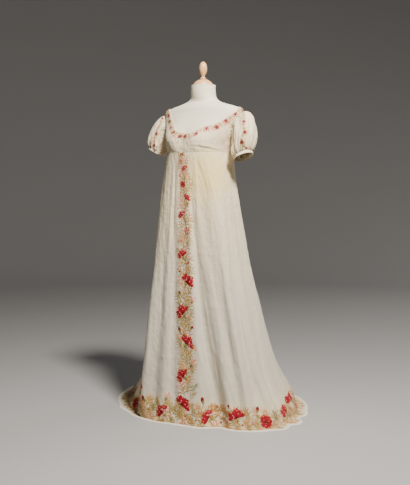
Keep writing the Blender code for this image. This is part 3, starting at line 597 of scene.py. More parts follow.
def patch(bottom, top, left, right):  # fills four edges with a grid
    across = np.linspace(0.0, 1.0, len(bottom))[:, None, None]
    up = np.linspace(0.0, 1.0, len(left))[None, :, None]
    return ((1 - up) * bottom[:, None] + up * top[:, None] + (1 - across) * left[None]
            + across * right[None] - (1 - across) * (1 - up) * bottom[0]
            - across * (1 - up) * bottom[-1] - (1 - across) * up * top[0] - across * up * top[-1])


def spaced(points, count):  # the same path with points evenly apart on the figure
    run = runAlong(body(points[:, 0], points[:, 1]))
    wanted = np.linspace(0.0, run[-1], count)
    return np.stack([np.interp(wanted, run, column) for column in points.T], 1)


def bandEdge(degrees):
    degrees = np.atleast_1d(degrees)
    return rowBelow(degrees, necklineRow(degrees), bandWidth(degrees) + bodice["seam"])


def bodiceGrid(front, side, columns, rows):
    waist = rowAt(bodice["waist"])
    seam = bodice["sideSeam"]
    sign = 1.0 if side == "left" else -1.0
    turns = np.linspace(110.0, 200.0, 400)
    join = float(np.interp(seam, armholePoint(turns, side)[0], turns))
    arm = np.stack(armholePoint(np.linspace(join, 0.0 if front else 360.0, 60), side), axis=1)
    centre = 0.0 if front else 180.0
    edge = float(bandEdge(sign * 90.0)[0])
    joinRow = float(armholePoint(join, side)[1])
    edgePath = np.concatenate([
        np.stack([np.full(40, seam), np.linspace(waist, joinRow, 40)], 1), arm[1:],
        np.stack([np.full(40, 90.0), np.linspace(arm[-1, 1], edge, 40)], 1)[1:]])
    angles = np.linspace(centre, 90.0, columns)
    top = np.stack([angles, bandEdge(sign * angles)], 1)
    middle = np.stack([np.full(40, centre), np.linspace(waist, top[0, 1], 40)], 1)
    bottom = np.stack([np.linspace(centre, seam, 60), np.full(60, waist)], 1)
    grid = patch(spaced(bottom, columns), top, spaced(middle, rows), spaced(edgePath, rows))
    below = grid[:, :-1]
    steps = np.arange(rows - 1, 0, -1)
    highest = bandEdge(sign * below[..., 0].ravel()).reshape(below.shape[:2]) - 0.010 * np.minimum(steps, 6)
    below[..., 1] = np.minimum(below[..., 1], highest)
    return grid


def bodiceRumple(degrees, place):  # gathers at the centre front, the cleft and the bust's own creases
    x, _, z = np.moveaxis(body(degrees, place), -1, 0)
    angle = np.abs(degrees)
    below = np.interp(degrees, *necklineTable) - z
    fan = np.arctan2(np.abs(x), below + 0.012)
    near = np.exp(-((below / 0.050) ** 2) - (x / 0.055) ** 2) * ease(0.004, 0.024, below)
    lift = np.cos(bodice["gathers"] * 2 * fan) * bodice["gatherDepth"] * near
    front = ease(70, 40, angle)
    for depth, reach, start, end in bodice["clefts"]:
        lift = lift - depth * np.exp(-((x / reach) ** 2)) * ease(start, end, below) * front
    # the fold under the bust, deepest towards the side seam
    low = z - bodice["waist"]
    dip = low - np.interp(angle, (26, 50, 66), (0.021, 0.010, 0.001))
    fold = 0.0012 * np.exp(-(((dip - 0.009) / 0.006) ** 2)) - 0.0022 * np.exp(-((dip / 0.0048) ** 2))
    lift = lift + fold * np.where(degrees > 0, 1.0, 0.6) * bump(angle - 46, 24)
    # slanting pulls beside the armhole
    arm = np.hypot((z - 1.215) / 0.05, (angle - 74) / 16)
    lift = lift + 0.0009 * np.sin(z * 150 + angle * 0.35) * np.exp(-arm * arm) * ease(170, 130, angle)
    fine = softNoise(degrees * 0.20, z * 55, 3) + 0.5 * softNoise(degrees * 0.5, z * 120, 4)
    return (lift + 0.0007 * fine) * ease(0.0, 0.006, low)


necklineAngles = np.linspace(-180, 180, 721)
necklineTable = (necklineAngles, np.interp(necklineRow(necklineAngles), rowSteps, rowHeights))


def clothOnFigure(degrees, place, lift, swell=1.0):  # the inner and outer face, and which way is out
    normal = bodyNormal(degrees, place)
    stand = bodice["seat"] + np.maximum(lift, bodice["deepest"])
    inner = body(degrees, place) + normal * stand[..., None]
    thickness = np.broadcast_to(bodice["cloth"] * swell, degrees.shape)
    return inner, inner + normal * thickness[..., None], normal


def edgeDistance(grid, edges=(0, 1, 2, 3)):  # metres from the nearest sewn edge of a panel
    rows, columns = arcLengths(grid, 1), arcLengths(grid, 0)
    sides = (columns, columns[-1:] - columns, rows, rows[:, -1:] - rows)
    return np.minimum.reduce([sides[edge] for edge in edges])


bodicePieces = {}
for part, front, columns, rows in (("Front", True, 74, 64), ("Back", False, 62, 60)):
    for side, mirror in (("Left", 1), ("Right", -1)):
        degrees, place = np.moveaxis(bodiceGrid(front, side.lower(), columns, rows), -1, 0)
        grid = body(degrees, place)
        gap = edgeDistance(grid)
        if front:  # no seam shows at the centre front, under the gathers
            gap = np.where(np.abs(degrees) < 6, edgeDistance(grid, (1, 2, 3)), gap)
        inner, outer, _ = clothOnFigure(degrees, place, bodiceRumple(degrees * mirror, place))
        inner[:, 0, 2] = outer[:, 0, 2] = bodice["waist"] + bodice["seam"] / 2
        hand = (mirror, 1, 1)
        piece = makeShell(f"bodice{part}{side}", inner * hand, outer * hand, muslinCloth, gap)
        bodicePieces[part + side] = piece
        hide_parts(f"bodice_{part.lower()}_{side.lower()}")


def bandRumple(degrees, shares):
    wave = softNoise(degrees * 0.35, shares * 1.5, 8) * 0.0005
    return wave + np.cos(degrees * 1.9) * 0.0005 * np.exp(-((degrees / 14) ** 2)) * shares


def bandRoll(shares):  # the drawn edge is a soft roll
    swell, place, width = bodice["roll"]
    return 1 + swell * np.exp(-(((shares - place) / width) ** 2))


bandPieces = {}
for part, start, end, columns in (("Front", -90.0, 90.0, 200), ("Back", 90.0, 270.0, 150)):
    degrees = np.linspace(start, end, columns)
    signed = wrapped(degrees)
    shares = np.array([1.0, 0.85, 0.68, 0.5, 0.34, 0.2, 0.1, 0.03, 0.0])
    drop = rowBelow(np.repeat(signed, len(shares)), np.repeat(necklineRow(signed), len(shares)),
                    (bandWidth(signed)[:, None] * shares).ravel()).reshape(columns, -1)
    turn = np.repeat(degrees[:, None], len(shares), axis=1)
    lift = bandRumple(degrees[:, None], shares)
    inner, outer, _ = clothOnFigure(turn, drop, lift, bandRoll(shares) - 0.5 * (shares == 0))
    gap = bandWidth(signed)[:, None] * (1 - shares)
    piece = makeShell(f"necklineBand{part}", inner, outer, muslinCloth, gap, inside=0.01)
    bandPieces[part] = piece
    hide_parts(f"neckline_band_{part.lower()}")
print("bodice made")


# ---- the sleeves and cuffs ----

sleeve = {
    "left": {"mirror": 1.0, "fullness": 1.06, "cuff": (0.224, -0.018, 1.117)},
    "right": {"mirror": -1.0, "fullness": 0.62, "cuff": (0.233, -0.030, 1.145)},
    "offFigure": 0.0034,
    "cuffRadius": 0.040,
    "cuffWidth": 0.013,
    "cuffWall": 0.0016,
    "seam": 0.0003,
    "tilt": 27.0,         # the cuff's mouth, out from straight down and round to the front
    "turn": 12.0,
    "leave": (0.138, 0.062),   # how far the cloth goes out of the armhole, and how much more at its top
    "rise": 0.080,
    "spread": 0.050,
    "puffOut": 0.122,
    "puffDrop": 0.085,
    "puffEven": 0.62,
    "folds": 10,
    "foldDepth": 0.0028,
    "cloth": 0.0010,
    # creases: turn and share where each starts, then ends, depth, half width in degrees
    "creases": (
        (8, 0.16, 13, 0.66, -0.0044, 7.0), (30, 0.02, 36, 0.45, 0.0022, 7.0),
        (-14, 0.03, -8, 0.50, 0.0030, 8.0), (52, 0.00, 60, 0.60, -0.0038, 8.0),
        (76, 0.02, 84, 0.55, 0.0028, 8.0), (96, 0.05, 104, 0.70, -0.0034, 8.0),
        (-34, 0.00, -30, 0.58, -0.0040, 8.0), (-58, 0.02, -52, 0.55, 0.0030, 9.0),
        (-80, 0.00, -74, 0.60, -0.0036, 8.0), (-104, 0.05, -98, 0.62, 0.0028, 9.0),
        (-130, 0.05, -124, 0.70, -0.0034, 10.0), (128, 0.05, 122, 0.65, 0.0030, 9.0),
        (152, 0.05, 150, 0.70, -0.0030, 10.0), (178, 0.05, 176, 0.70, 0.0026, 10.0),
        (22, 0.60, 30, 0.98, -0.0034, 5.0), (44, 0.66, 50, 1.0, 0.0030, 5.0),
        (66, 0.62, 72, 1.0, -0.0036, 5.5), (-24, 0.62, -20, 1.0, 0.0030, 5.5),
        (-46, 0.60, -42, 1.0, -0.0036, 6.0), (104, 0.66, 106, 1.0, 0.0030, 6.0),
        (138, 0.66, 138, 1.0, -0.0032, 6.0), (-92, 0.66, -90, 1.0, -0.0032, 6.0),
        (-150, 0.64, -146, 1.0, 0.0030, 6.0),
    ),
}


def cuffAxes():
    tilt, turn = math.radians(sleeve["tilt"]), math.radians(sleeve["turn"])
    away = np.array([math.cos(turn), -math.sin(turn), 0.0])
    mouth = away * math.sin(tilt) + np.array([0.0, 0.0, -math.cos(tilt)])
    out = away * math.cos(tilt) + np.array([0.0, 0.0, math.sin(tilt)])
    front = np.cross(mouth, out)
    return mouth, out, front if front[1] < 0 else -front


def sleevePoints(turn, share, side, centre, fullness):  # from the armhole, share 0, to the cuff, share 1
    degrees, place = armholePoint(turn, side)
    leave = body(degrees, place) + bodyNormal(degrees, place) * sleeve["offFigure"]
    turn = np.radians(turn)[..., None]
    mouth, out, front = cuffAxes()
    spoke = np.cos(turn) * out + np.sin(turn) * front
    arrive = centre + spoke * sleeve["cuffRadius"] - mouth * (sleeve["cuffWidth"] + sleeve["seam"])
    mean, top = sleeve["leave"]
    start = (mean + top * np.cos(turn)) * np.array([1.0, 0.0, 0.0])
    start = start + sleeve["spread"] * np.sin(turn) * np.array([0.0, -1.0, 0.0])
    start = start + sleeve["rise"] * ((1 + np.cos(turn)) / 2) ** 2 * np.array([0.0, 0.0, 1.0])
    weight = sleeve["puffEven"] + (1 - sleeve["puffEven"]) * np.cos(turn)
    finish = -spoke * sleeve["puffOut"] * weight + np.array([0.0, 0.0, -sleeve["puffDrop"]])
    share = np.asarray(share, float)[..., None]
    points = hermite(leave, arrive, start * fullness, finish * fullness, share)
    pleat = np.cos(sleeve["folds"] * turn) * sleeve["foldDepth"] * ease(0.45, 0.85, share)
    pleat = pleat * (1 - 0.75 * ease(0.9, 1.0, share))
    return points + spoke * pleat


def seamless(turn):  # fades to 0 at the seam, so that its two sides meet
    return ease(0, 20, turn) * ease(360, 340, turn)


def sleeveRumple(turn, share, seed):
    total = np.zeros(turn.shape)
    for turnTop, top, turnLow, low, depth, width in sleeve["creases"]:
        part = (share - top) / (low - top)
        centre = turnTop + (turnLow - turnTop) * part + seed * 1.5
        fade = ease(-0.08, 0.22, part) * ease(1.08, 0.75, part)
        total = total + depth * fade * bump(wrapped(turn - centre), width)
    head = np.cos(np.radians(turn) * 34 + 1.4 * np.sin(np.radians(turn) * 5 + seed))
    total = total + head * 0.0011 * ease(0.0, 0.03, share) * (1 - ease(0.05, 0.24, share))
    cuffEnd = np.cos(np.radians(turn) * 30 + 1.7 * np.sin(np.radians(turn) * 7 + seed))
    total = total + cuffEnd * 0.0016 * ease(0.72, 0.93, share) * ease(1.0, 0.985, share)
    small = softNoise(turn * 0.09, share * 7, 20 + seed)
    small = small + 0.6 * softNoise(turn * 0.2, share * 16, 30 + seed)
    return total + small * seamless(turn) * 0.0011 * ease(0, 0.06, share) * ease(1, 0.94, share)


clothStart = 0.0005  # from a smooth form to the inner face of the cloth over it
sleevePieces, sleeveGuides = {}, {}
for seed, side in enumerate(("left", "right")):
    cut = sleeve[side]
    mirror = np.array([cut["mirror"], 1.0, 1.0])
    turns = np.linspace(0, 360, 241)
    shares = np.concatenate([[0, 0.012], np.linspace(0.03, 0.965, 74), [0.985, 1.0]])
    turn, share = np.meshgrid(turns, shares, indexing="ij")
    base3d = sleevePoints(turn, share, side, np.array(cut["cuff"]), cut["fullness"])
    normal = -gridNormals(np.concatenate([base3d[-2:-1], base3d, base3d[1:2]]))[1:-1]
    normal[0] = normal[-1] = unit(normal[0] + normal[-1])
    mouth, out, front = cuffAxes()
    spoke = np.cos(np.radians(turns))[:, None] * out + np.sin(np.radians(turns))[:, None] * front
    normal[:, -1] = spoke
    lift = sleeveRumple(turn, share, seed)
    inner = base3d + normal * (clothStart + lift)[..., None]
    outer = inner + normal * sleeve["cloth"]
    piece = makeShell(f"sleeve{side.capitalize()}", inner * mirror, outer * mirror, muslinCloth,
                      edgeDistance(outer, (2, 3)), closed=True)
    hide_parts(f"sleeve_{side}")
    sleevePieces[side] = piece
    sleeveGuides[side] = (turns, shares, outer * mirror, normal * mirror)
    # the cuff is a narrow folded band
    along = np.array([0.0, 0.03, 0.10, 0.22, 0.36, 0.5, 0.64, 0.78, 0.90, 0.97, 1.0])
    swell = np.sqrt(np.clip(1 - (2 * along - 1) ** 8, 0, 1)) * 0.75 + 0.25
    ring = np.array(cut["cuff"]) + spoke * sleeve["cuffRadius"]
    wobble = softNoise(turns * 0.06, 0, 50 + seed) * 0.0004 * seamless(turns)
    inner = ring[:, None] - mouth * (sleeve["cuffWidth"] * (1 - along))[None, :, None]
    inner = inner + spoke[:, None] * (0.0003 * (1 - swell))[None, :, None]
    outer = inner + spoke[:, None] * ((sleeve["cuffWall"] * swell)[None] + wobble[:, None])[..., None]
    piece = makeShell(f"cuff{side.capitalize()}", inner * mirror, outer * mirror, muslinCloth,
                      edgeDistance(outer, (2, 3)) + 0.001, closed=True)
    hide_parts(f"cuff_{side}")
    sleevePieces["cuff" + side] = piece
print("sleeves made")


# ---- the skirt and its train ----

skirt = {
    "cloth": 0.0010,
    "offFigure": 0.0016,  # at the waist
    "sideSeam": 80.0,
    "backSeam": 130.0,
    "hem": (  # points on the floor, in order round the wearer from the centre front
        (0.038, -0.171), (0.100, -0.160), (0.160, -0.108), (0.222, -0.100), (0.300, -0.072),
        (0.352, -0.012), (0.388, 0.070), (0.382, 0.170), (0.334, 0.290), (0.258, 0.440),
        (0.150, 0.548), (0.010, 0.620), (-0.140, 0.655), (-0.300, 0.640), (-0.455, 0.570),
        (-0.585, 0.440), (-0.640, 0.285), (-0.602, 0.151), (-0.534, 0.034), (-0.419, -0.072),
        (-0.277, -0.161), (-0.140, -0.198), (-0.038, -0.180)),
    "seamRuns": ((-180.0, -1.600), (-130.0, -1.080), (-80.0, -0.520), (0.0, 0.0),
                 (80.0, 0.450), (130.0, 0.860)),
    "rows": (  # height, straight share, left sweep, right sweep, folds
        (1.140, 0.000, 0.000, 0.000, 0.00), (1.118, 0.030, 0.010, 0.012, 0.30),
        (1.063, 0.100, 0.034, 0.040, 0.50), (0.990, 0.190, 0.072, 0.080, 0.60),
        (0.900, 0.285, 0.120, 0.125, 0.70), (0.790, 0.375, 0.180, 0.180, 0.80),
        (0.670, 0.460, 0.250, 0.240, 0.90), (0.545, 0.560, 0.335, 0.310, 1.00),
        (0.420, 0.670, 0.430, 0.385, 1.00), (0.300, 0.795, 0.540, 0.470, 1.00),
        (0.200, 0.890, 0.655, 0.560, 1.00), (0.120, 0.945, 0.795, 0.670, 0.95),
        (0.055, 0.975, 0.910, 0.830, 0.75), (0.016, 0.992, 0.968, 0.950, 0.35),
        (0.000, 1.000, 1.000, 1.000, 0.00)),
    "trumpetLeft": (40.0, 80.0),
    "trumpetRight": (35.0, 70.0),
    "lyingFront": 0.022,  # how much of the cloth lies on the floor
    "lyingBack": 0.045,
    "offFloor": 0.0003,
    # large folds: degrees at the waist, at the hem, depth, half width, from row height
    "folds": (
        (10.0, 26.0, -0.015, 5.0, 1.12), (18.0, 35.0, 0.010, 5.5, 1.08),
        (-11.0, -12.0, -0.006, 3.5, 1.10), (-17.0, -17.0, 0.009, 4.5, 1.00),
        (-16.0, -29.0, -0.010, 5.0, 0.62), (-33.0, -38.0, 0.016, 6.5, 1.00),
        (-50.0, -56.0, -0.014, 7.0, 1.00), (-66.0, -73.0, 0.014, 7.0, 0.90),
        (33.0, 45.0, -0.009, 5.0, 0.90), (43.0, 52.0, 0.009, 5.5, 0.90),
        (58.0, 62.0, -0.012, 6.0, 0.95), (74.0, 78.0, 0.013, 6.5, 0.95),
        (90.0, 93.0, -0.016, 6.0, 1.00), (105.0, 108.0, 0.014, 6.0, 1.00),
        (119.0, 122.0, -0.014, 5.5, 1.02), (-84.0, -90.0, -0.015, 6.0, 1.00),
        (-98.0, -103.0, 0.015, 6.5, 1.00), (-112.0, -116.0, -0.015, 6.0, 1.02)),
    "foldGrowth": 0.55,
    "gathers": 8,
    "gatherDepth": 0.0042,
    "flutes": 5,
    "fluteDepth": 0.017,
    "waves": (  # along the hem: degrees, depth, half width
        (38.0, 0.006, 7.0), (78.0, 0.008, 5.0), (86.0, -0.016, 3.0), (94.0, 0.010, 5.0),
        (103.0, -0.014, 3.5), (112.0, 0.010, 5.0), (-70.0, 0.008, 7.0)),
    "bindingWidth": 0.013,
    "bindingWall": 0.0030,
    "bindingStitch": 0.86,   # share of its width at which it is sewn down
    # creases: degrees and height at the top and at the foot, depth, half width in metres
    "creases": (
        (15.0, 1.10, 12.5, 0.78, -0.0020, 0.006), (22.0, 1.09, 19.0, 0.80, 0.0022, 0.007),
        (20.0, 0.60, 28.0, 0.10, 0.0030, 0.009), (14.5, 0.62, 24.0, 0.12, -0.0030, 0.008),
        (-11.5, 1.11, -13.5, 0.76, -0.0030, 0.005), (-15.0, 1.05, -17.0, 0.70, 0.0020, 0.007),
        (-9.0, 0.60, -21.0, 0.38, -0.0030, 0.009), (-13.0, 0.80, -15.5, 0.10, 0.0026, 0.007),
        (-34.5, 0.47, -34.5, 0.19, 0.0030, 0.011), (-21.0, 0.24, -36.0, 0.08, 0.0026, 0.010),
        (85.0, 0.68, 96.5, 0.48, -0.0036, 0.010), (96.5, 0.48, 88.0, 0.13, -0.0036, 0.011),
        (57.0, 0.80, 49.0, 0.56, 0.0018, 0.009), (50.0, 0.58, 52.5, 0.50, -0.0016, 0.007),
        (34.5, 0.22, 39.5, 0.08, -0.0026, 0.008), (51.5, 0.25, 58.0, 0.11, -0.0026, 0.009),
        (70.5, 0.20, 70.0, 0.09, -0.0024, 0.009), (12.0, 0.36, 21.5, 0.10, 0.0032, 0.008),
        (27.0, 1.09, 36.0, 0.94, -0.0014, 0.006), (-35.0, 0.98, -37.0, 0.94, -0.0016, 0.008),
        (44.0, 1.02, 47.0, 0.72, 0.0014, 0.010), (64.0, 0.98, 60.0, 0.62, -0.0016, 0.009),
        (-44.0, 1.06, -41.0, 0.72, 0.0020, 0.009), (-26.0, 0.72, -24.0, 0.44, -0.0018, 0.010),
        (30.0, 0.70, 37.0, 0.42, -0.0016, 0.010), (66.0, 0.52, 69.0, 0.22, 0.0022, 0.012),
        (4.0, 0.10, 3.6, 0.00, -0.0030, 0.004), (-10.0, 0.13, -11.0, 0.01, -0.0026, 0.005),
        (-60.0, 0.60, -64.0, 0.22, -0.0026, 0.014), (-58.0, 1.00, -60.0, 0.70, 0.0020, 0.011),
        (-100.0, 0.70, -108.0, 0.30, 0.0030, 0.016), (-92.0, 0.45, -96.0, 0.12, -0.0034, 0.016),
        (112.0, 0.75, 116.0, 0.35, -0.0030, 0.013), (100.0, 0.50, 102.0, 0.12, 0.0030, 0.014),
        (140.0, 0.60, 144.0, 0.20, 0.0032, 0.018), (160.0, 0.72, 158.0, 0.30, -0.0030, 0.016),
        (-140.0, 0.62, -146.0, 0.20, 0.0034, 0.020), (-160.0, 0.50, -166.0, 0.10, -0.0036, 0.022),
        (176.0, 0.46, 172.0, 0.12, 0.0034, 0.020), (-124.0, 0.66, -130.0, 0.24, -0.0030, 0.016),
        (26.0, 0.34, 31.0, 0.17, 0.0018, 0.009), (42.0, 0.44, 45.0, 0.20, 0.0018, 0.011),
    ),
    "storedFolds": (0.955, 0.725, 0.505, 0.285),  # faint lines left by folding, heights
}


def closedCurve(points, step=0.002):
    points = np.asarray(points, float)
    rows = np.concatenate([points[-1:], points, points[:2]])
    dense = []
    for index in range(len(points)):
        p0, p1, p2, p3 = rows[index : index + 4]
        count = max(2, int(np.linalg.norm(p2 - p1) / step))
        dense.append(hermite(p1, p2, (p2 - p0) / 2, (p3 - p1) / 2, (np.arange(count) / count)[:, None]))
    dense = np.concatenate(dense + [points[:1]])
    return dense, runAlong(dense)


hemCurve, hemRun = closedCurve(skirt["hem"])
hemLength = float(hemRun[-1])


def hemDistance(degrees):  # the distance along the hem that goes with an angle at the waist
    angles = [row[0] for row in skirt["seamRuns"]] + [180.0]
    runs = [row[1] for row in skirt["seamRuns"]] + [skirt["seamRuns"][0][1] + hemLength]
    return np.interp(wrapped(degrees), angles, runs)


def hemOutline(degrees):
    run = hemDistance(degrees) % hemLength
    at = lambda where: np.stack([np.interp(where % hemLength, hemRun, hemCurve[:, i]) for i in (0, 1)], -1)
    along = unit(at(run + 0.03) - at(run - 0.03))
    out = np.stack([along[..., 1], -along[..., 0]], axis=-1)
    turn = wrapped(degrees)
    wave = sum(depth * bump(turn - place, width) for place, depth, width in skirt["waves"])
    return at(run) + out * wave[..., None], out


def trumpet(degrees):  # 0 where the skirt falls straight, 1 where it sweeps out
    left = ease(*skirt["trumpetLeft"], wrapped(degrees))
    right = ease(*skirt["trumpetRight"], -wrapped(degrees))
    return np.maximum(left, right)


def foldDepth(degrees, height):
    degrees = wrapped(degrees)
    down = 1 - height / bodice["waist"]
    total = 0.0
    for high, low, depth, width, start in skirt["folds"]:
        centre = high + (low - high) * down
        grown = ease(start, start - skirt["foldGrowth"], height)
        total = total + depth * bump(degrees - centre, width) * grown
    back = ease(skirt["backSeam"] - 12.0, skirt["backSeam"] + 4.0, np.abs(degrees))
    span = 360.0 / (2 * (180.0 - skirt["backSeam"]))
    turn = np.radians(180.0 - np.abs(degrees)) * span
    uneven = 1 + 0.35 * softNoise(degrees * 0.09, down * 2.0, 61)
    gather = np.cos(skirt["gathers"] * turn) * skirt["gatherDepth"] * (1 - ease(0.05, 0.45, down))
    flute = np.cos(skirt["flutes"] * turn) * skirt["fluteDepth"] * ease(0.12, 0.60, down)
    return total + back * (gather * uneven + flute)


def skirtPoints(degrees, place):
    degrees, place = np.broadcast_arrays(np.asarray(degrees, float), np.asarray(place, float))
    last = len(skirt["rows"]) - 1.0
    height, straight, left, right, folds = np.moveaxis(rowValues(skirt["rows"], place), -1, 0)
    waistRow = rowAt(bodice["waist"])
    waist = (body(degrees, waistRow) + bodyNormal(degrees, waistRow) * skirt["offFigure"])[..., :2]
    hem, out = hemOutline(degrees)
    sweep = trumpet(degrees)
    lying = skirt["lyingFront"] + (skirt["lyingBack"] - skirt["lyingFront"]) * sweep
    touch = hem - out * lying[..., None]
    side = ease(-0.5, 0.5, -np.sin(np.radians(degrees)))
    share = straight + (left + (right - left) * side - straight) * sweep
    flat = waist + (touch - waist) * share[..., None]
    past = np.clip(place - last, 0.0, 1.0)
    flat = flat + out * (past * (lying - skirt["bindingWidth"] - bodice["seam"]))[..., None]
    away = unit(out * share[..., None] + unit(waist) * (1 - share)[..., None])
    flat = flat + away * (foldDepth(degrees, height) * folds)[..., None]
    return np.concatenate([flat, np.maximum(height, 0.0)[..., None]], axis=-1)


def skirtPlaces():  # rows evenly apart down the cloth, then closer at the floor
    steps = np.linspace(0, len(skirt["rows"]) - 1, 2000)
    heights = rowValues(skirt["rows"], steps)[:, 0]
    wanted = np.concatenate([[1.14, 1.1385, 1.136], np.linspace(1.131, 0.14, 128),
                             np.linspace(0.133, 0.02, 17), [0.0145, 0.0095, 0.0055, 0.0025]])
    lying = steps[-1] + np.array([0.0, 0.15, 0.35, 0.6, 0.85, 1.0])
    return np.concatenate([np.interp(-wanted, -heights, steps), lying])


rumpleTurn = 0.0043 / 0.034  # rumples to a degree


def skirtRumple(degrees, height, metresPerDegree):
    total = np.zeros(degrees.shape)
    for degTop, zTop, degLow, zLow, depth, width in skirt["creases"]:
        part = (zTop - height) / (zTop - zLow)
        centre = degTop + (degLow - degTop) * part
        apart = wrapped(degrees - centre) * metresPerDegree
        fade = ease(-0.10, 0.22, part) * ease(1.10, 0.80, part)
        wander = softNoise(height * 9, degTop, 40) * width * 0.5
        total = total + depth * fade * np.exp(-(((apart + wander) / width) ** 2))
    across = degrees * rumpleTurn
    hang = softNoise(across, height * 5.0, 11) + 0.5 * softNoise(across * 2.3, height * 11, 12)
    total = total + hang * 0.0016 * ease(1.13, 1.0, height)
    small = softNoise(across * 4.2, height * 26, 13) + 0.6 * softNoise(across * 7, height * 60, 14)
    total = total + small * 0.00055
    for stored in skirt["storedFolds"]:
        away = height - stored - 0.006 * softNoise(across * 0.5, stored * 9, 15)
        uneven = 0.6 + 0.6 * softNoise(across, stored * 5, 16)
        total = total + 0.0011 * np.exp(-((away / 0.0045) ** 2)) * uneven
    # fine pleats where the cloth meets the waist seam
    waist = np.cos(np.radians(degrees) * 150 + 2 * np.sin(np.radians(degrees) * 23)) * 0.0005
    total = total + waist * ease(1.02, 1.12, height)
    return total * ease(1.140, 1.132, height) * ease(0.004, 0.05, height)


def skirtGrid(start, end, columns):
    step = (end - start) / (columns - 1)
    degrees = np.linspace(start - step, end + step, columns + 2)
    turn, place = np.meshgrid(degrees, skirtPlaces(), indexing="ij")
    base3d = skirtPoints(turn, place)
    height = base3d[..., 2]
    normal = gridNormals(base3d)
    outward = np.stack([np.sin(np.radians(turn)), -np.cos(np.radians(turn)), np.full(turn.shape, 0.6)], -1)
    normal = np.where((normal * outward).sum(-1, keepdims=True) < 0, -normal, normal)
    normal[:, -6:] = (0.0, 0.0, 1.0)  # the rows that lie on the floor
    perDegree = np.linalg.norm(np.gradient(base3d, axis=0), axis=-1) / step
    lift = skirtRumple(turn, height, perDegree)
    inner = base3d + normal * (clothStart + lift)[..., None]
    outer = inner + normal * skirt["cloth"]
    inner[..., 2] = np.maximum(inner[..., 2], skirt["offFloor"])
    outer[..., 2] = np.maximum(outer[..., 2], skirt["offFloor"] + skirt["cloth"])
    inner[:, 0, 2] = outer[:, 0, 2] = bodice["waist"] - bodice["seam"] / 2
    return degrees[1:-1], inner[1:-1], outer[1:-1], normal[1:-1]


# the embroidered panel down the front: height, its right edge and left edge from the centre front
frontPanel = ((0.0, -0.062, 0.046), (0.32, -0.053, 0.041), (0.53, -0.047, 0.041), (0.735, -0.038, 0.031),
              (0.94, -0.030, 0.027), (1.14, -0.014, 0.019))
panelHeights, panelRight, panelLeft = np.array(frontPanel).T

# across the turned edge, from its inner side: share of its width, share of its height
bindingProfile = np.array([(1.0, 0.0), (0.98, 0.55), (0.90, 0.85), (0.74, 1.0), (0.52, 1.0), (0.30, 0.92),
                           (0.13, 0.72), (0.04, 0.42), (0.0, 0.12), (0.0, 0.0)])


def binding(name, start, end, columns):  # the turned edge of the hem, a soft flat roll on the floor
    degrees = np.linspace(start, end, columns)
    run = hemDistance(degrees)
    hem, out = hemOutline(degrees)
    share, rise = bindingProfile.T
    reach = share[None] * skirt["bindingWidth"]
    puff = 1 + 0.28 * softNoise(run * 42, 0, 71) + 0.12 * softNoise(run * 110, 0, 72)
    ripple = 0.0010 * softNoise(run * 30, 0, 73)
    flat = hem[:, None] - out[:, None] * (reach - ripple[:, None] * (1 - share))[..., None]
    height = np.maximum(rise * skirt["bindingWall"] * puff[:, None], 0.0002)
    upper = np.concatenate([flat, height[..., None]], axis=-1)
    stitchLine = np.abs(reach - skirt["bindingWidth"] * skirt["bindingStitch"])
    return makeShell(name, upper * (1, 1, 0), upper, edgeCloth, stitchLine + 0.0006)


panels = (  # name, node, from, to, columns
    ("Front", "front", -skirt["sideSeam"], skirt["sideSeam"], 236),
    ("SideLeft", "side_left", skirt["sideSeam"], skirt["backSeam"], 84),
    ("Back", "back", skirt["backSeam"], 360.0 - skirt["backSeam"], 200),
    ("SideRight", "side_right", -skirt["backSeam"], -skirt["sideSeam"], 96),
)


def fromCentre(degrees, outer):  # the distance across the cloth from the centre front, row by row
    around = arcLengths(outer, 0)
    return around - np.array([np.interp(0.0, degrees, row) for row in around.T])


skirtPieces, bindingPieces, skirtGrids = {}, {}, {}
for name, node, start, end, columns in panels:
    degrees, inner, outer, normal = skirtGrid(start, end, columns)
    skirtGrids[node] = (degrees, outer, normal)
    gap, inside = edgeDistance(outer, (0, 1, 2)), -1.0
    if node == "front":
        around, height = fromCentre(degrees, outer), outer[..., 2]
        inside = np.minimum(around - np.interp(height, panelHeights, panelRight),
                            np.interp(height, panelHeights, panelLeft) - around)
        gap = np.minimum(gap, np.abs(inside))
    piece = makeShell("skirt" + name, inner, outer, muslinCloth, gap, inside)
    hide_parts(f"skirt_{node}")
    skirtPieces[node] = piece
    edge = binding("hemBinding" + name, start, end, columns * 2)
    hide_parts(f"hem_binding_{node}")
    bindingPieces[node] = edge
print("skirt made, hem length", round(hemLength, 3))


# ---- embroidery: the motifs, as satin stitched strokes ----

# colours by name, linear
cotton = {
    "carnation": (0.400, 0.003, 0.016), "scarlet": (0.580, 0.010, 0.028), "crimson": (0.180, 0.002, 0.010),
    "wine": (0.060, 0.002, 0.006), "pink": (0.860, 0.230, 0.220), "blush": (0.940, 0.540, 0.440),
    "cream": (0.840, 0.740, 0.580), "olive": (0.300, 0.225, 0.055), "moss": (0.140, 0.125, 0.030),
    "sage": (0.420, 0.370, 0.130), "gold": (0.580, 0.320, 0.062), "straw": (0.720, 0.480, 0.165),
    "salmon": (0.740, 0.290, 0.110),
}


reds, innerReds = ("crimson", "carnation", "scarlet"), ("crimson", "scarlet", "carnation")
pinks = ("pink", "blush", "cream")


def direction(angle):
    return np.array([math.cos(angle), math.sin(angle)])


def lean(angle):  # the same, from straight up
    return np.array([math.sin(angle), math.cos(angle)])


def fanned(facing, spread, count):  # angles evenly apart about the one that a row faces
    return [facing + spread * (k / max(count - 1, 1) * 2 - 1) for k in range(count)]


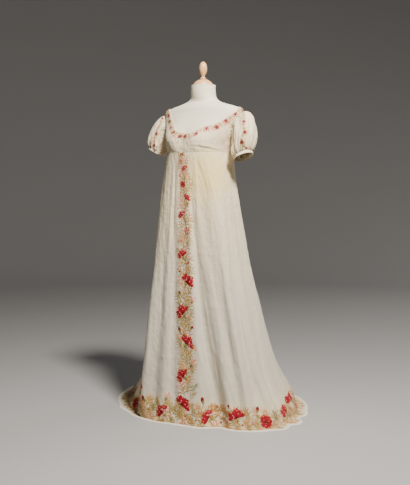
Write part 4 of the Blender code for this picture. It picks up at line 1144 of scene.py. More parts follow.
class Drawing:  # strokes of thread, flat in X and Y, raised in Z
    def __init__(self):
        self.points, self.faces, self.colours, self.stitches = [], [], [], []

    def stroke(self, start, bend, end, width, root, tip, height=0.0006, steps=5, shape=0.55, flat=False):
        # a curved leaf or petal of satin stitch; shape is where along it is widest
        root, tip = np.array(cotton[root]), np.array(cotton[tip])
        start, bend, end = (np.array(p, float) for p in (start, bend, end))
        first = len(self.points)
        length = np.linalg.norm(bend - start) + np.linalg.norm(end - bend)
        for step in range(steps + 1):
            t = step / steps
            spot = start * (1 - t) ** 2 + 2 * bend * t * (1 - t) + end * t * t
            along = 2 * (bend - start) * (1 - t) + 2 * (end - bend) * t
            side = np.array([-along[1], along[0]]) / max(np.linalg.norm(along), 1e-9)
            warped = t ** (math.log(0.5) / math.log(shape))
            swell = width * max(max(math.sin(math.pi * warped), 0.0) ** 0.7, 0.85 if flat else 0.12)
            rounded = height * (0.35 + 0.65 * math.sin(math.pi * min(max(t, 0.04), 0.96)) ** 0.5)
            for offset, rise in ((-1, -0.25), (0, 1.0), (1, -0.25)):
                self.points.append((*(spot + side * swell * offset), rise * rounded))
                self.colours.append((*(root + (tip - root) * t), 1.0))
                self.stitches.append((length * t * 0.45 + abs(offset) * swell, 0.0, 0.0))
        for a in range(first, first + steps * 3, 3):
            self.faces += [(a, a + 3, a + 4, a + 1), (a + 1, a + 4, a + 5, a + 2)]

    def strokes(self, rows, x=0.0, y=0.0, **how):  # rows are start, bend, end, width, colours, height
        for *spots, width, root, tip, height in rows:
            self.stroke(*((x + px, y + py) for px, py in spots), width, root, tip, height, **how)

    def knot(self, place, radius, colour, height=0.0008, sides=6):
        first = len(self.points)
        for turn, reach, rise in ((0.0, 1.0, -0.0002), (0.5, 0.62, height * 0.8)):
            for side in range(sides):
                away = radius * reach * direction(2 * math.pi * (side + turn) / sides)
                self.points.append((*(place + away), rise))
        self.points.append((*place, height))
        shade = np.array(cotton[colour])
        # the outer ring is painted darker: painted shade where the knot sinks into the cloth
        self.colours += [(*shade * 0.85, 1.0)] * sides + [(*shade, 1.0)] * (sides + 1)
        self.stitches += [(x, 0.0, 0.0) for x in (*[radius] * sides, *[radius * 0.4] * sides, 0.0)]
        for side in range(sides):
            after = (side + 1) % sides
            a, b, c, d = first + side, first + after, first + sides + side, first + sides + after
            self.faces += [(a, b, c), (b, d, c), (c, d, first + 2 * sides)]

    def fan(self, centre, facing, spread, count, near, far, width, root, tip, height):
        for k, angle in enumerate(fanned(facing, spread, count)):
            way, wobble = direction(angle), 1 + 0.08 * math.sin(k * 5.1 + facing * 3)
            start, end = centre + way * near, centre + way * far * wobble
            bend = (start + end) / 2 + np.array([-way[1], way[0]]) * far * 0.06 * math.sin(k)
            self.stroke(start, bend, end, width, root, tip, height, steps=4, shape=0.68)

    def petals(self, centre, facing, spread, count, near, far, width, tones, height):
        # notched petals of three strokes each, of uneven length and shade
        gap = spread * 2 / max(count, 2) * 0.27
        for k, angle in enumerate(fanned(facing, spread, count)):
            reach = far * (1 + 0.09 * math.sin(k * 4.3 + facing * 5.0))
            for part, (off, share) in enumerate(((-gap, 0.95), (gap, 0.93), (0.0, 1.0))):
                way = direction(angle + off)
                start, end = centre + way * near, centre + way * reach * share
                bend = (start + end) / 2 + np.array([-way[1], way[0]]) * off * reach * 0.5
                tip = tones[1] if (k + part) % 3 else tones[2]
                self.stroke(start, bend, end, width, tones[0], tip, height + 0.0002 * (part == 2),
                            steps=4, shape=0.76)

    def toObject(self, name, collection):
        mesh = bpy.data.meshes.new(name)
        mesh.from_pydata(self.points, [], self.faces)
        addPointValues(mesh, "thread", self.colours, "FLOAT_COLOR")
        addPointValues(mesh, "stitch", self.stitches, "FLOAT_VECTOR")
        obj = bpy.data.objects.new(name, mesh)
        collection.objects.link(obj)
        return obj


# Motifs are drawn at their full size, about 50 mm across for a flower, growing towards +Y
calyx = (
    ((0, -0.006), (-0.003, 0), (-0.006, 0.007), 0.0020, "olive", "sage", 0.0011),
    ((0, -0.006), (0, 0), (0, 0.008), 0.0022, "moss", "olive", 0.0014),
    ((0, -0.006), (0.003, 0), (0.006, 0.007), 0.0020, "olive", "sage", 0.0011),
    ((0, -0.016), (0.002, -0.010), (0, -0.005), 0.0010, "moss", "olive", 0.0006),
)
upwards = math.pi / 2
carnations = {
    # petals: centre, facing, spread, count, near, far, width, tones, height
    # knots, a row of pale dots across the petals: centre, facing, spread, count, reach, height
    "carnationFan": {
        "petals": (
            ((0, -0.010), upwards, 1.36, 9, 0.002, 0.0305, 0.0043, reds, 0.0007),
            ((0, -0.010), upwards, 1.22, 7, 0.002, 0.0215, 0.0038, innerReds, 0.0012),
            ((0, -0.010), upwards, 1.15, 5, 0.000, 0.0135, 0.0036, reds, 0.0015),
            ((-0.002, -0.010), upwards + 0.9, 0.40, 2, 0.002, 0.0120, 0.0022, pinks, 0.0018)),
        "knots": (((0, -0.010), upwards, 1.05, 4, 0.0235, 0.0021),
                  ((0, -0.010), upwards - 0.1, 0.60, 2, 0.0150, 0.0023)),
        "calyx": (0, -0.018),
    },
    "carnationSide": {  # red petals to one side, a few pale inner ones to the other
        "petals": (
            ((0.003, -0.006), upwards - 1.25, 0.35, 2, 0.004, 0.0215, 0.0030, pinks, 0.0006),
            ((0, -0.008), upwards + 0.22, 1.28, 9, 0.002, 0.0300, 0.0043, reds, 0.0008),
            ((0, -0.008), upwards + 0.22, 1.10, 6, 0.002, 0.0210, 0.0038, innerReds, 0.0012),
            ((0, -0.008), upwards + 0.22, 1.05, 5, 0.000, 0.0130, 0.0036, reds, 0.0015),
            ((0.003, -0.006), upwards - 0.70, 0.35, 2, 0.002, 0.0130, 0.0022, pinks, 0.0018)),
        "knots": (((0, -0.008), upwards + 0.25, 0.95, 4, 0.0225, 0.0021),
                  ((0, -0.008), upwards + 0.30, 0.50, 2, 0.0145, 0.0023)),
        "calyx": (0.002, -0.017),
    },
    "carnationOpen": {
        "petals": (((0, 0), 0, math.pi * 0.92, 11, 0.003, 0.0260, 0.0041, reds, 0.0008),
                   ((0, 0), 0.3, math.pi * 0.88, 7, 0.002, 0.0180, 0.0038, innerReds, 0.0012)),
        "knots": (((0, 0), 0.4, math.pi * 0.88, 5, 0.0200, 0.0021),
                  ((0, 0), 0.1, math.pi * 0.70, 3, 0.0110, 0.0023)),
        "eye": 0.0026,
    },
}


def drawCarnation(d, kind):
    parts = carnations[kind]
    for row in parts["petals"]:
        d.petals(*row)
    for centre, facing, spread, count, reach, height in parts["knots"]:
        for angle in fanned(facing, spread, count):
            d.knot(centre + reach * direction(angle), 0.0017, "blush", height, sides=5)
    if "calyx" in parts:
        d.strokes(calyx, *parts["calyx"])
    else:
        d.knot((0, 0), parts["eye"], "wine", 0.0022)


buds = {
    "budPink": (
        ((-0.001, 0), (-0.009, 0.010), (-0.002, 0.020), 0.0026, "pink", "blush", 0.0008),
        ((0.001, 0), (0.009, 0.010), (0.003, 0.020), 0.0026, "pink", "blush", 0.0008),
        ((0, 0.001), (0, 0.010), (0, 0.019), 0.0024, "salmon", "blush", 0.0011),
        ((0.001, 0.012), (0.001, 0.016), (0.001, 0.022), 0.0015, "carnation", "scarlet", 0.0013)),
    "budRed": (
        ((-0.001, 0), (-0.007, 0.008), (-0.001, 0.017), 0.0026, "crimson", "wine", 0.0009),
        ((0.001, 0), (0.007, 0.008), (0.002, 0.018), 0.0026, "carnation", "crimson", 0.0009),
        ((0, 0.001), (0, 0.009), (0, 0.018), 0.0022, "crimson", "carnation", 0.0012)),
}


def drawBud(d, kind):
    d.strokes(buds[kind])
    d.strokes(calyx, 0, -0.002)


def drawSpray(d, side, tones, length=0.048, count=7, thick=0.0024):  # long blades arching up and out
    for k in range(count):
        share = k / (count - 1) * 2 - 1
        turn = share * 1.02 + side * 0.06
        root = np.array([share * 0.0012, 0.010 * (1 - abs(share)) + 0.002 * (k % 2)])
        reach = length * (0.92 - 0.26 * abs(share) + 0.07 * math.sin(k * 2.7 + side))
        tip = root + lean(turn) * reach + np.array([share * 0.006, -0.004 * share * share])
        bend = root + lean(turn * 0.45) * reach * 0.56
        d.stroke(root, bend, tip, thick, tones[k % len(tones)], tones[(k + 1) % len(tones)],
                 steps=4, shape=0.58)
    d.stroke((0, -0.010), (side * 0.001, -0.002), (0, 0.012), 0.0010, tones[0], tones[0], 0.0005,
             steps=2, flat=True)


def drawFeather(d, side, tones):  # short blades from both sides of a rib
    rib = [np.array([side * 0.004 * math.sin(k * 0.9), 0.030 * k / 4]) for k in range(5)]
    for a in (0, 2):
        d.stroke(*rib[a : a + 3], 0.0010, tones[0], tones[0], 0.0005, steps=2, flat=True)
    for k in range(9):
        share = k / 8
        turn = side * (1 if k % 2 else -1) * (1.05 - 0.90 * share)
        root = rib[0] + (rib[4] - rib[0]) * share * 0.95
        reach = 0.021 - 0.005 * share + 0.002 * math.sin(k * 2.7 + side)
        tip = root + lean(turn) * reach + np.array([0.0, 0.004])
        bend = root + lean(turn) * reach * 0.55 - np.array([0.0, 0.0015])
        d.stroke(root, bend, tip, 0.0018, tones[k % 3], tones[(k + 1) % 3], steps=3, shape=0.5)


def drawLeaf(d):
    d.stroke((0, 0), (-0.006, 0.012), (0.003, 0.026), 0.0026, "moss", "olive", 0.0008, steps=6, shape=0.45)
    d.stroke((0, 0), (0.001, 0.010), (0.004, 0.023), 0.0016, "olive", "sage", 0.0009)


def drawDots(d):  # a loose head of small round berries
    spots = ((0, 0.004), (0.008, 0.008), (-0.008, 0.007), (0.004, 0.014), (-0.005, 0.015), (0.012, 0.0),
             (-0.012, -0.001), (0.006, -0.004), (-0.005, -0.005))
    for k, spot in enumerate(spots):
        d.knot(spot, 0.0034, "carnation" if k % 3 else "scarlet", 0.0012, sides=8)
    d.strokes((((0, -0.018), (0.001, -0.010), (0, 0), 0.0010, "olive", "sage", 0.0006),
               ((0, -0.012), (0.004, -0.008), (0.006, -0.004), 0.0008, "olive", "sage", 0.0006)))


rosettes = {  # small flowers of the neckline and sleeves: two rows of petals, the eye's size and height
    "rosette": (((0.2, math.pi * 0.86, 7, 0.003, 0.0150, 0.0036, "pink", "blush", 0.0006),
                 (0.6, math.pi * 0.84, 6, 0.001, 0.0098, 0.0032, "crimson", "carnation", 0.0011)),
                (0.0040, 0.0016)),
    "rosetteDark": (((0.0, math.pi * 0.84, 6, 0.003, 0.0135, 0.0030, "salmon", "pink", 0.0006),
                     (0.5, math.pi * 0.84, 6, 0.001, 0.0104, 0.0034, "wine", "crimson", 0.0012)),
                    (0.0042, 0.0017)),
}


def drawRosette(d, kind):
    rows, (radius, height) = rosettes[kind]
    for row in rows:
        d.fan((0, 0), *row)
    d.knot((0, 0), radius, "wine", height)


def drawSprig(d, *tones):  # small leaves either side, for the narrow bands
    for side in (-1, 1):
        d.strokes((((0, 0), (side * 0.005, 0.004), (side * 0.011, 0.009), 0.0017, *tones[:2], 0.0005),
                   ((0, 0.004), (side * 0.003, 0.009), (side * 0.006, 0.016), 0.0016, tones[2], tones[0],
                    0.0005)), steps=4)
    d.stroke((0, -0.006), (0.001, 0.004), (0, 0.014), 0.0008, tones[1], tones[0], 0.0004,
             steps=4, flat=True)


def drawSprigPink(d):
    for side in (-1, 1):
        d.strokes((((0, 0), (side * 0.004, 0.002), (side * 0.009, 0.007), 0.0018, "salmon", "pink", 0.0005),
                   ((0, 0.003), (side * 0.004, 0.008), (side * 0.005, 0.015), 0.0014, "olive", "sage",
                    0.0005)), steps=4)
    d.knot((0, 0.013), 0.0018, "pink")


motifDrawings = (  # name, how it is drawn, with what
    *((kind, drawCarnation, kind) for kind in carnations),
    *((kind, drawBud, kind) for kind in buds),
    ("sprayOlive", drawSpray, 1, ("olive", "sage", "gold")),
    ("sprayGold", drawSpray, -1, ("gold", "straw", "salmon")),
    ("spraySalmon", drawSpray, 1, ("salmon", "straw", "gold"), 0.044, 6),
    ("featherOlive", drawFeather, 1, ("moss", "olive", "sage")),
    ("featherGold", drawFeather, -1, ("olive", "gold", "straw")),
    ("leaf", drawLeaf), ("dots", drawDots),
    *((kind, drawRosette, kind) for kind in rosettes),
    ("sprig", drawSprig, "olive", "moss", "gold"), ("sprigGold", drawSprig, "gold", "olive", "salmon"),
    ("sprigPink", drawSprigPink),
    ("bladesGold", drawSpray, 1, ("gold", "olive", "salmon"), 0.034, 5, 0.0028),
    ("bladesOlive", drawSpray, -1, ("olive", "gold", "moss"), 0.032, 5, 0.0027),
    ("bladesSalmon", drawSpray, 1, ("salmon", "pink", "gold"), 0.030, 4, 0.0027),
)
motifNumber = {name: number for number, (name, *_) in enumerate(motifDrawings)}
motifBox, stitchBox = (bpy.data.collections.new(name) for name in ("motifs", "stitchShapes"))
for box in (motifBox, stitchBox):
    bpy.context.scene.collection.children.link(box)
for number, (name, draw, *how) in enumerate(motifDrawings):
    drawing = Drawing()
    draw(drawing, *how)
    drawing.toObject(f"motif{number:02d}{name}", motifBox)

runningStitch = Drawing()
runningStitch.stroke((-0.0011, 0), (0, 0), (0.0011, 0), 0.00032, "cream", "cream", 0.00022, steps=4)
stitchShape = runningStitch.toObject("runningStitch", stitchBox)
print("motifs drawn:", len(motifDrawings))


# ---- laying embroidery on the cloth ----

lay = {
    "span": 4.0,   # metres of cloth that the whole of a lay map stands for
    "motifLift": 0.0002,   # how far off the cloth the stitches lie
    "stitchLift": 0.0001,
    "stitchUneven": 0.15,
    "stitchSeed": 4,
}


def clothGuide(name, points, normals, cut):
    # a hidden copy of the cloth's outer face, with its flat cut as a map, for the stitches to lie on
    obj = meshObject(name, points.reshape(-1, 3), gridFaces(*points.shape[:2]))
    addUv(obj.data, "cut", cut.reshape(-1, 2) / lay["span"] + 0.5)
    addPointValues(obj.data, "outward", normals.reshape(-1, 3), "FLOAT_VECTOR")
    obj.hide_render = True
    return obj


def squareCut(rows, run, first=0, soft=7):  # distances along and square from one line of a grid
    way = np.gradient(rows[:, first], axis=0)
    padded = np.concatenate([np.repeat(way[:1], soft, 0), way, np.repeat(way[-1:], soft, 0)])
    even = np.full(2 * soft + 1, 1.0)
    way = unit(np.stack([np.convolve(padded[:, axis], even, "valid") for axis in range(3)], axis=-1))
    along = ((rows - rows[:, first][:, None]) * way[:, None]).sum(-1)
    reach = arcLengths(rows, 1)
    reach = reach - reach[:, first][:, None]
    aside = np.sign(reach) * np.sqrt(np.maximum(reach**2 - along**2, 0))
    return np.stack([run[:, None] + along, aside], axis=-1)


def newGeometryTree(name, *inputs):  # each input is its name, kind and, for a number, its value
    tree = bpy.data.node_groups.new(name, "GeometryNodeTree")
    for label, kind, *value in (("Geometry", "Geometry"), *inputs):
        socket = tree.interface.new_socket(label, in_out="INPUT", socket_type="NodeSocket" + kind)
        if value:
            socket.default_value = value[0]
    tree.interface.new_socket("Geometry", in_out="OUTPUT", socket_type="NodeSocketGeometry")
    start = tree.nodes.new("NodeGroupInput")
    return tree, Nodes(tree), {socket.name: socket for socket in start.outputs}


def named(n, name, kind):
    return n.add("GeometryNodeInputNamedAttribute", {"Name": name}, data_type=kind)


def shapeOf(n, obj):
    return n.add("GeometryNodeObjectInfo", {"Object": obj}, out="Geometry", transform_space="ORIGINAL")


def makeLayTree():  # carries flat stitches, in metres of cut cloth, on to the hung cloth
    tree, n, given = newGeometryTree("layOnCloth", ("Cloth", "Object"), ("Lift", "Float", lay["motifLift"]))
    cloth = shapeOf(n, given["Cloth"])
    place = n.add("GeometryNodeInputPosition")
    cut = n.vector("MULTIPLY", {0: place, 1: (1 / lay["span"], 1 / lay["span"], 0)})
    cut = n.vector("ADD", {0: cut, 1: (0.5, 0.5, 0)})

    def sampled(value):  # the cloth's value at that cut, and whether there is cloth there
        node = tree.nodes.new("GeometryNodeSampleUVSurface")
        node.data_type = "FLOAT_VECTOR"
        n.put(node.inputs["Mesh"], cloth)
        n.put([s for s in node.inputs if s.name == "Value" and s.enabled][0], value)
        n.put(node.inputs["UV Map"], named(n, "cut", "FLOAT_VECTOR"))
        n.put(node.inputs["Sample UV"], cut)
        return [s for s in node.outputs if s.name == "Value" and s.enabled][0], node.outputs["Is Valid"]

    spot, found = sampled(n.add("GeometryNodeInputPosition"))
    outward, _ = sampled(named(n, "outward", "FLOAT_VECTOR"))
    offset = n.vector("SCALE", {0: outward, "Scale": n.plus(n.axis(place, 2), given["Lift"])})
    marked = n.add("GeometryNodeStoreNamedAttribute", {
        "Geometry": given["Geometry"], "Name": "onCloth", "Value": found},
        data_type="BOOLEAN", domain="POINT")
    placed = n.add("GeometryNodeSetPosition", {
        "Geometry": marked, "Position": n.vector("ADD", {0: spot, 1: offset})})
    missed = n.add("FunctionNodeBooleanMath", {0: named(n, "onCloth", "BOOLEAN")}, operation="NOT")
    kept = n.add("GeometryNodeDeleteGeometry", {"Geometry": placed, "Selection": missed}, domain="POINT")
    n.put(tree.nodes.new("NodeGroupOutput").inputs["Geometry"], kept)
    return tree


layTree = makeLayTree()


def finishTree(tree, n, flat, given):  # lays the stitches, then makes them real with their thread
    laid = tree.nodes.new("GeometryNodeGroup")
    laid.node_tree = layTree
    for label, value in (("Geometry", flat), ("Cloth", given["Cloth"]), ("Lift", given["Lift"])):
        n.put(laid.inputs[label], value)
    smooth = n.add("GeometryNodeSetShadeSmooth", {"Geometry": laid.outputs[0]})
    real = n.add("GeometryNodeRealizeInstances", {"Geometry": smooth})
    threaded = n.add("GeometryNodeSetMaterial", {"Geometry": real, "Material": given["Thread"]})
    n.put(tree.nodes.new("NodeGroupOutput").inputs["Geometry"], threaded)
    return tree


def makeMotifTree():  # one motif at each point of the layout, by its number, turn and size
    tree, n, given = newGeometryTree(
        "scatterMotifs", ("Motifs", "Collection"), ("Stems", "Object"), ("Cloth", "Object"),
        ("Motif scale", "Float", 1.0), ("Lift", "Float", lay["motifLift"]), ("Thread", "Material"))
    shapes = n.add("GeometryNodeCollectionInfo", {
        "Collection": given["Motifs"], "Separate Children": True, "Reset Children": True},
        transform_space="ORIGINAL")
    turn = n.add("ShaderNodeCombineXYZ", {2: named(n, "turn", "FLOAT")})
    spots = n.add("GeometryNodeInstanceOnPoints", {
        "Points": given["Geometry"], "Instance": shapes, "Pick Instance": True,
        "Instance Index": named(n, "motif", "INT"), "Rotation": turn,
        "Scale": n.times(named(n, "size", "FLOAT"), given["Motif scale"])})
    joined = tree.nodes.new("GeometryNodeJoinGeometry")
    for shape in (shapeOf(n, given["Stems"]), n.add("GeometryNodeRealizeInstances", {"Geometry": spots})):
        tree.links.new(shape, joined.inputs[0])
    return finishTree(tree, n, joined.outputs[0], given)


def makeStitchTree():  # running stitches along a seam line
    tree, n, given = newGeometryTree(
        "runStitches", ("Stitch", "Object"), ("Cloth", "Object"), ("Stitch spacing", "Float", 0.0035),
        ("Unevenness", "Float", lay["stitchUneven"]), ("Seed", "Int", lay["stitchSeed"]),
        ("Lift", "Float", lay["stitchLift"]), ("Thread", "Material"))
    line = n.add("GeometryNodeMeshToCurve", {"Mesh": given["Geometry"]})
    even = n.add("GeometryNodeResampleCurve", {
        "Curve": line, "Length": given["Stitch spacing"]}, mode="LENGTH")
    tangent = n.add("GeometryNodeInputTangent")
    facing = n.add("FunctionNodeAlignRotationToVector", {"Vector": tangent}, axis="X")
    uneven = n.add("FunctionNodeRandomValue", {
        2: n.math("SUBTRACT", 1.0, given["Unevenness"]), 3: n.plus(1.0, given["Unevenness"]),
        "Seed": given["Seed"]}, out=1, data_type="FLOAT")
    spots = n.add("GeometryNodeInstanceOnPoints", {
        "Points": even, "Instance": shapeOf(n, given["Stitch"]), "Rotation": facing, "Scale": uneven})
    return finishTree(tree, n, n.add("GeometryNodeRealizeInstances", {"Geometry": spots}), given)


motifTree, stitchTree = makeMotifTree(), makeStitchTree()


def runTree(obj, tree, values):  # applies a tree, its inputs set by identifier, and keeps a plain mesh
    modifier = obj.modifiers.new(tree.name, "NODES")
    modifier.node_group = tree
    sockets = {item.name: item.identifier for item in tree.interface.items_tree if item.in_out == "INPUT"}
    for label, value in values.items():
        modifier[sockets[label]] = value
    bpy.context.view_layer.update()
    depsgraph = bpy.context.evaluated_depsgraph_get()
    mesh = bpy.data.meshes.new_from_object(
        obj.evaluated_get(depsgraph), preserve_all_data_layers=True, depsgraph=depsgraph)
    mesh.name = obj.name
    obj.modifiers.remove(modifier)
    old, obj.data = obj.data, mesh
    bpy.data.meshes.remove(old)
    for name in ("onCloth", "motif", "turn", "size"):
        if name in mesh.attributes:
            mesh.attributes.remove(mesh.attributes[name])
    return obj


def embroider(name, layout, stems, cloth):  # layout rows are across, up, motif, turn in degrees, size
    rows = np.array([(x, y, motifNumber[motif], math.radians(turn), size)
                     for x, y, motif, turn, size in layout])
    points = np.concatenate([rows[:, :2], np.zeros((len(rows), 1))], axis=1)
    obj = meshObject(name, points, [], smooth=False)
    addPointValues(obj.data, "motif", rows[:, 2], "INT")
    addPointValues(obj.data, "turn", rows[:, 3])
    addPointValues(obj.data, "size", rows[:, 4])
    holder = stems.toObject(name + "Stems", stitchBox)
    runTree(obj, motifTree, {"Motifs": motifBox, "Stems": holder, "Cloth": cloth, "Motif scale": 1.0,
                             "Lift": lay["motifLift"], "Thread": threadCotton})
    bpy.data.objects.remove(holder)
    return obj


def sewLine(name, paths, cloth, spacing):
    points, edges = [], []
    for path in paths:
        edges += [(len(points) + k, len(points) + k + 1) for k in range(len(path) - 1)]
        points += [(x, y, 0.0) for x, y in path]
    mesh = bpy.data.meshes.new(name)
    mesh.from_pydata(points, edges, [])
    obj = bpy.data.objects.new(name, mesh)
    bpy.context.scene.collection.objects.link(obj)
    return runTree(obj, stitchTree, {
        "Stitch": stitchShape, "Cloth": cloth, "Stitch spacing": spacing, "Unevenness": lay["stitchUneven"],
        "Seed": lay["stitchSeed"], "Lift": lay["stitchLift"], "Thread": threadCotton})


# ---- where the embroidery lies ----

# the hem: across is the run along the hem from the centre front, up is along the cloth
hemColumns = [skirtGrids[node] for node in ("side_right", "front", "side_left", "back")]
hemColumns.append((hemColumns[0][0] + 360.0, *hemColumns[0][1:]))
turns, outers, normals = (
    np.concatenate([first, *(grid[1:] for grid in others)]) for first, *others in zip(*hemColumns))
runs = hemDistance(turns) + np.where(turns > 180.0, hemLength, 0.0)
workedRows = 62  # of the skirt's rows, from the hem up
outers, normals = outers[:, : -workedRows - 1 : -1], normals[:, : -workedRows - 1 : -1]
hemCut = squareCut(outers, runs, 0, 14) + (0.0, skirt["bindingWidth"])
hemGuide = clothGuide("hemGuide", outers, normals, hemCut)
hemStart = float(runs[0]) + 0.09  # the pattern starts clear of the guide's end

# the front panel: across is from the centre front, up is from the hem
degrees, outer, normal = skirtGrids["front"]
narrow = slice(*np.searchsorted(degrees, (-28.0, 26.0)))
degrees, outer, normal = degrees[narrow], outer[narrow, ::-1], normal[narrow, ::-1]
middle = int(np.argmin(np.abs(degrees)))
centreUp, frontHeights = arcLengths(outer, 1)[middle], outer[middle, :, 2]
frontCut = np.stack(np.broadcast_arrays(fromCentre(degrees, outer), centreUp[None]), axis=-1)
frontGuide = clothGuide("frontGuide", outer, normal, frontCut)


def upFromHeight(height):
    return float(np.interp(height, frontHeights, centreUp))


# the neckline: across is the run along the drawn edge, up is minus the distance below it
neckTurns = np.linspace(-190.0, 190.0, 457)
neckDown = np.concatenate([[0.0006], np.linspace(0.002, 0.080, 44)])
around = wrapped(neckTurns)
spots = np.repeat(around, len(neckDown))
rows = rowBelow(spots, necklineRow(spots), np.tile(neckDown, len(around))).reshape(len(around), -1)
signed = np.broadcast_to(around[:, None], rows.shape)
depth = neckDown / bandWidth(around)[:, None]
share, onBand = np.clip(depth, 0, 1), ease(1.05, 0.95, depth)
bandTurn = np.where(np.abs(around) > 90, around % 360.0, around)[:, None]
lift = onBand * bandRumple(bandTurn, share) + (1 - onBand) * bodiceRumple(signed, rows)
_, outer, normal = clothOnFigure(signed, rows, lift, bandRoll(share))
edgeRun = arcLengths(outer, 0)[:, 0]
edgeRun = edgeRun - np.interp(0.0, neckTurns, edgeRun)
neckCut = np.stack(np.broadcast_arrays(edgeRun[:, None], -neckDown[None]), axis=-1)
neckGuide = clothGuide("neckGuide", outer, normal, neckCut)
neckFlowerGuide = clothGuide("neckFlowerGuide", outer, normal, squareCut(outer, edgeRun) * (1, -1))
neckHalf = float(np.interp(180.0, neckTurns, edgeRun))


def neckRun(degrees):
    return float(np.interp(degrees, neckTurns, edgeRun))


# each sleeve: up is minus the distance down the line of its flowers, across is square from that line
flowerLines = {  # share of the way to the cuff, degrees round from the top
    "left": ((0.0, -6.0), (0.08, -12.0), (0.25, -27.0), (0.40, -35.0), (0.62, -37.0), (0.80, -41.0),
             (1.0, -41.0)),
    "right": ((0.0, 28.0), (0.107, 38.0), (0.235, 62.0), (0.44, 81.0), (0.61, 89.0), (0.80, 94.0),
              (1.0, 98.0)),
}
asideDegrees = np.linspace(-58, 58, 117)
for side, (around360, shares, outer, normal) in sleeveGuides.items():
    places = np.interp(shares, *np.array(flowerLines[side]).T)[:, None] + asideDegrees
    places = (-places if side == "left" else places) % 360.0
    index = places / 360.0 * (len(around360) - 1)
    low, row = index.astype(int), np.arange(len(shares))[:, None]
    part = (index - low)[..., None]
    outer, normal = (grid[low, row] * (1 - part) + grid[low + 1, row] * part for grid in (outer, normal))
    middle = len(asideDegrees) // 2
    cut = squareCut(outer, runAlong(outer[:, middle]), middle, 5)
    outer, normal, cut = (np.swapaxes(grid[::-1], 0, 1) for grid in (outer, normal, cut))
    clothGuide(f"sleeveGuide{side.capitalize()}", outer, normal, cut[..., ::-1] * (1, -1))


# ---- the patterns ----

def meander(drawing, path, width, colours):  # a stem through a row of points
    points = np.array(path, float)
    rows = np.concatenate([2 * points[:1] - points[1:2], points, 2 * points[-1:] - points[-2:-1]])
    for index in range(len(points) - 1):
        p0, p1, p2, p3 = rows[index : index + 4]
        middle = (p1 + p2) / 2 + (p2 - p0 - p3 + p1) / 8
        for part, (a, b) in enumerate(((0.0, 0.5), (0.5, 1.0))):
            spot = lambda t: (1 - t) ** 2 * p1 + 2 * t * (1 - t) * (2 * middle - (p1 + p2) / 2) + t * t * p2
            drawing.stroke(spot(a), 2 * spot((a + b) / 2) - (spot(a) + spot(b)) / 2, spot(b), width,
                           colours[part], colours[1 - part], 0.0005, steps=5, flat=True)


def joinStems(drawing, flowers, path, foot):  # a curved stalk from each flower to the nearest of the stem
    spots = np.array(path)
    for x, y, kind, turn, size in flowers:
        way = np.array([-math.sin(math.radians(turn)), math.cos(math.radians(turn))])
        start = np.array([x, y]) - way * foot * size
        near = spots[int(np.argmin(np.hypot(*(spots - start + way * 0.02).T)))]
        drawing.stroke(start, start - way * 0.012 + (near - start) * 0.3, near, 0.0009, "olive", "moss",
                       0.0005, steps=6, flat=True)


def crowded(x, y, flowers, reach):
    return any(math.hypot(x - fx, y - fy) < reach * max(size, 0.6) for fx, fy, _, _, size in flowers)


rng = np.random.default_rng(11)
flowerKinds = ("carnationFan", "carnationSide", "carnationOpen")
kinds = ("sprayOlive", "sprayGold", "featherOlive", "sprayGold", "spraySalmon", "featherGold", "sprayOlive")
shortKinds = ("bladesGold", "bladesOlive", "bladesSalmon")
hemPattern = {
    "stem": 0.082,   # height of the stem that winds between the flowers
    "flowers": (0.066, 0.114),   # heights of the low and the high flowers round the back
    "buds": (0.120, 0.060),   # and of the bud beside each
    "budStep": (0.045, 0.070),
    "flowerStep": (0.112, 0.142),
    "from": 0.815,   # the runs that the even rows round the back start and end at
    "upTo": 0.68,
    "sprayStep": 0.0260,
    "sprays": ((0.026, 100), (0.048, 80), (0.070, 62), (0.090, 50)),   # heights, how far they lean at most
    "bold": 0.45,   # share of short broad blades
}

# flowers of the hem: run along it, height up, motif, turn, size
hemFlowers = [
    (-0.585, 0.103, "carnationSide", 20, 1.21), (-0.492, 0.063, "carnationFan", 150, 1.21),
    (-0.398, 0.073, "carnationOpen", 160, 1.16), (-0.300, 0.098, "carnationFan", -30, 1.16),
    (-0.262, 0.150, "carnationSide", 15, 1.16), (-0.224, 0.106, "budRed", 35, 1.25),
    (-0.205, 0.066, "budPink", 70, 0.95),
    (-0.122, 0.070, "carnationSide", 35, 1.26), (-0.100, 0.126, "budPink", -20, 1.35),
    (-0.024, 0.115, "carnationFan", -35, 1.38), (0.082, 0.126, "budRed", 15, 1.30),
    (0.101, 0.064, "carnationSide", 50, 1.21), (0.130, 0.098, "budRed", -30, 0.75),
    (0.193, 0.115, "budRed", 20, 0.75), (0.221, 0.082, "carnationFan", 20, 1.38),
    (0.182, 0.050, "budPink", 70, 0.85), (0.333, 0.107, "budRed", -15, 1.30),
    (0.376, 0.065, "carnationOpen", 15, 1.32), (0.300, 0.056, "budPink", -60, 0.90),
    (0.470, 0.060, "budPink", 40, 1.00), (0.551, 0.099, "carnationFan", 30, 1.38),
    (0.640, 0.060, "budPink", -50, 1.05), (0.662, 0.130, "carnationFan", 20, 1.32),
]
run, high = hemPattern["from"], False
while run < hemLength - hemPattern["upTo"]:
    hemFlowers.append((run, hemPattern["flowers"][high], flowerKinds[rng.integers(3)],
                       rng.uniform(-70, 90), 1.2))
    hemFlowers.append((run + rng.uniform(*hemPattern["budStep"]), hemPattern["buds"][high],
                       "budPink" if rng.random() < 0.5 else "budRed", rng.uniform(-60, 60), 1.1))
    run, high = run + rng.uniform(*hemPattern["flowerStep"]), not high
hemFlowers = sorted((x if x > hemStart else x + hemLength, *rest) for x, *rest in hemFlowers)
largeHem = [row for row in hemFlowers if row[2] in flowerKinds]
path = [(x, hemPattern["stem"] - (y - hemPattern["stem"]) * 0.55) for x, y, *_ in largeHem]
path.append((path[0][0] + hemLength, path[0][1]))
stems = Drawing()
meander(stems, path, 0.0011, ("olive", "moss"))
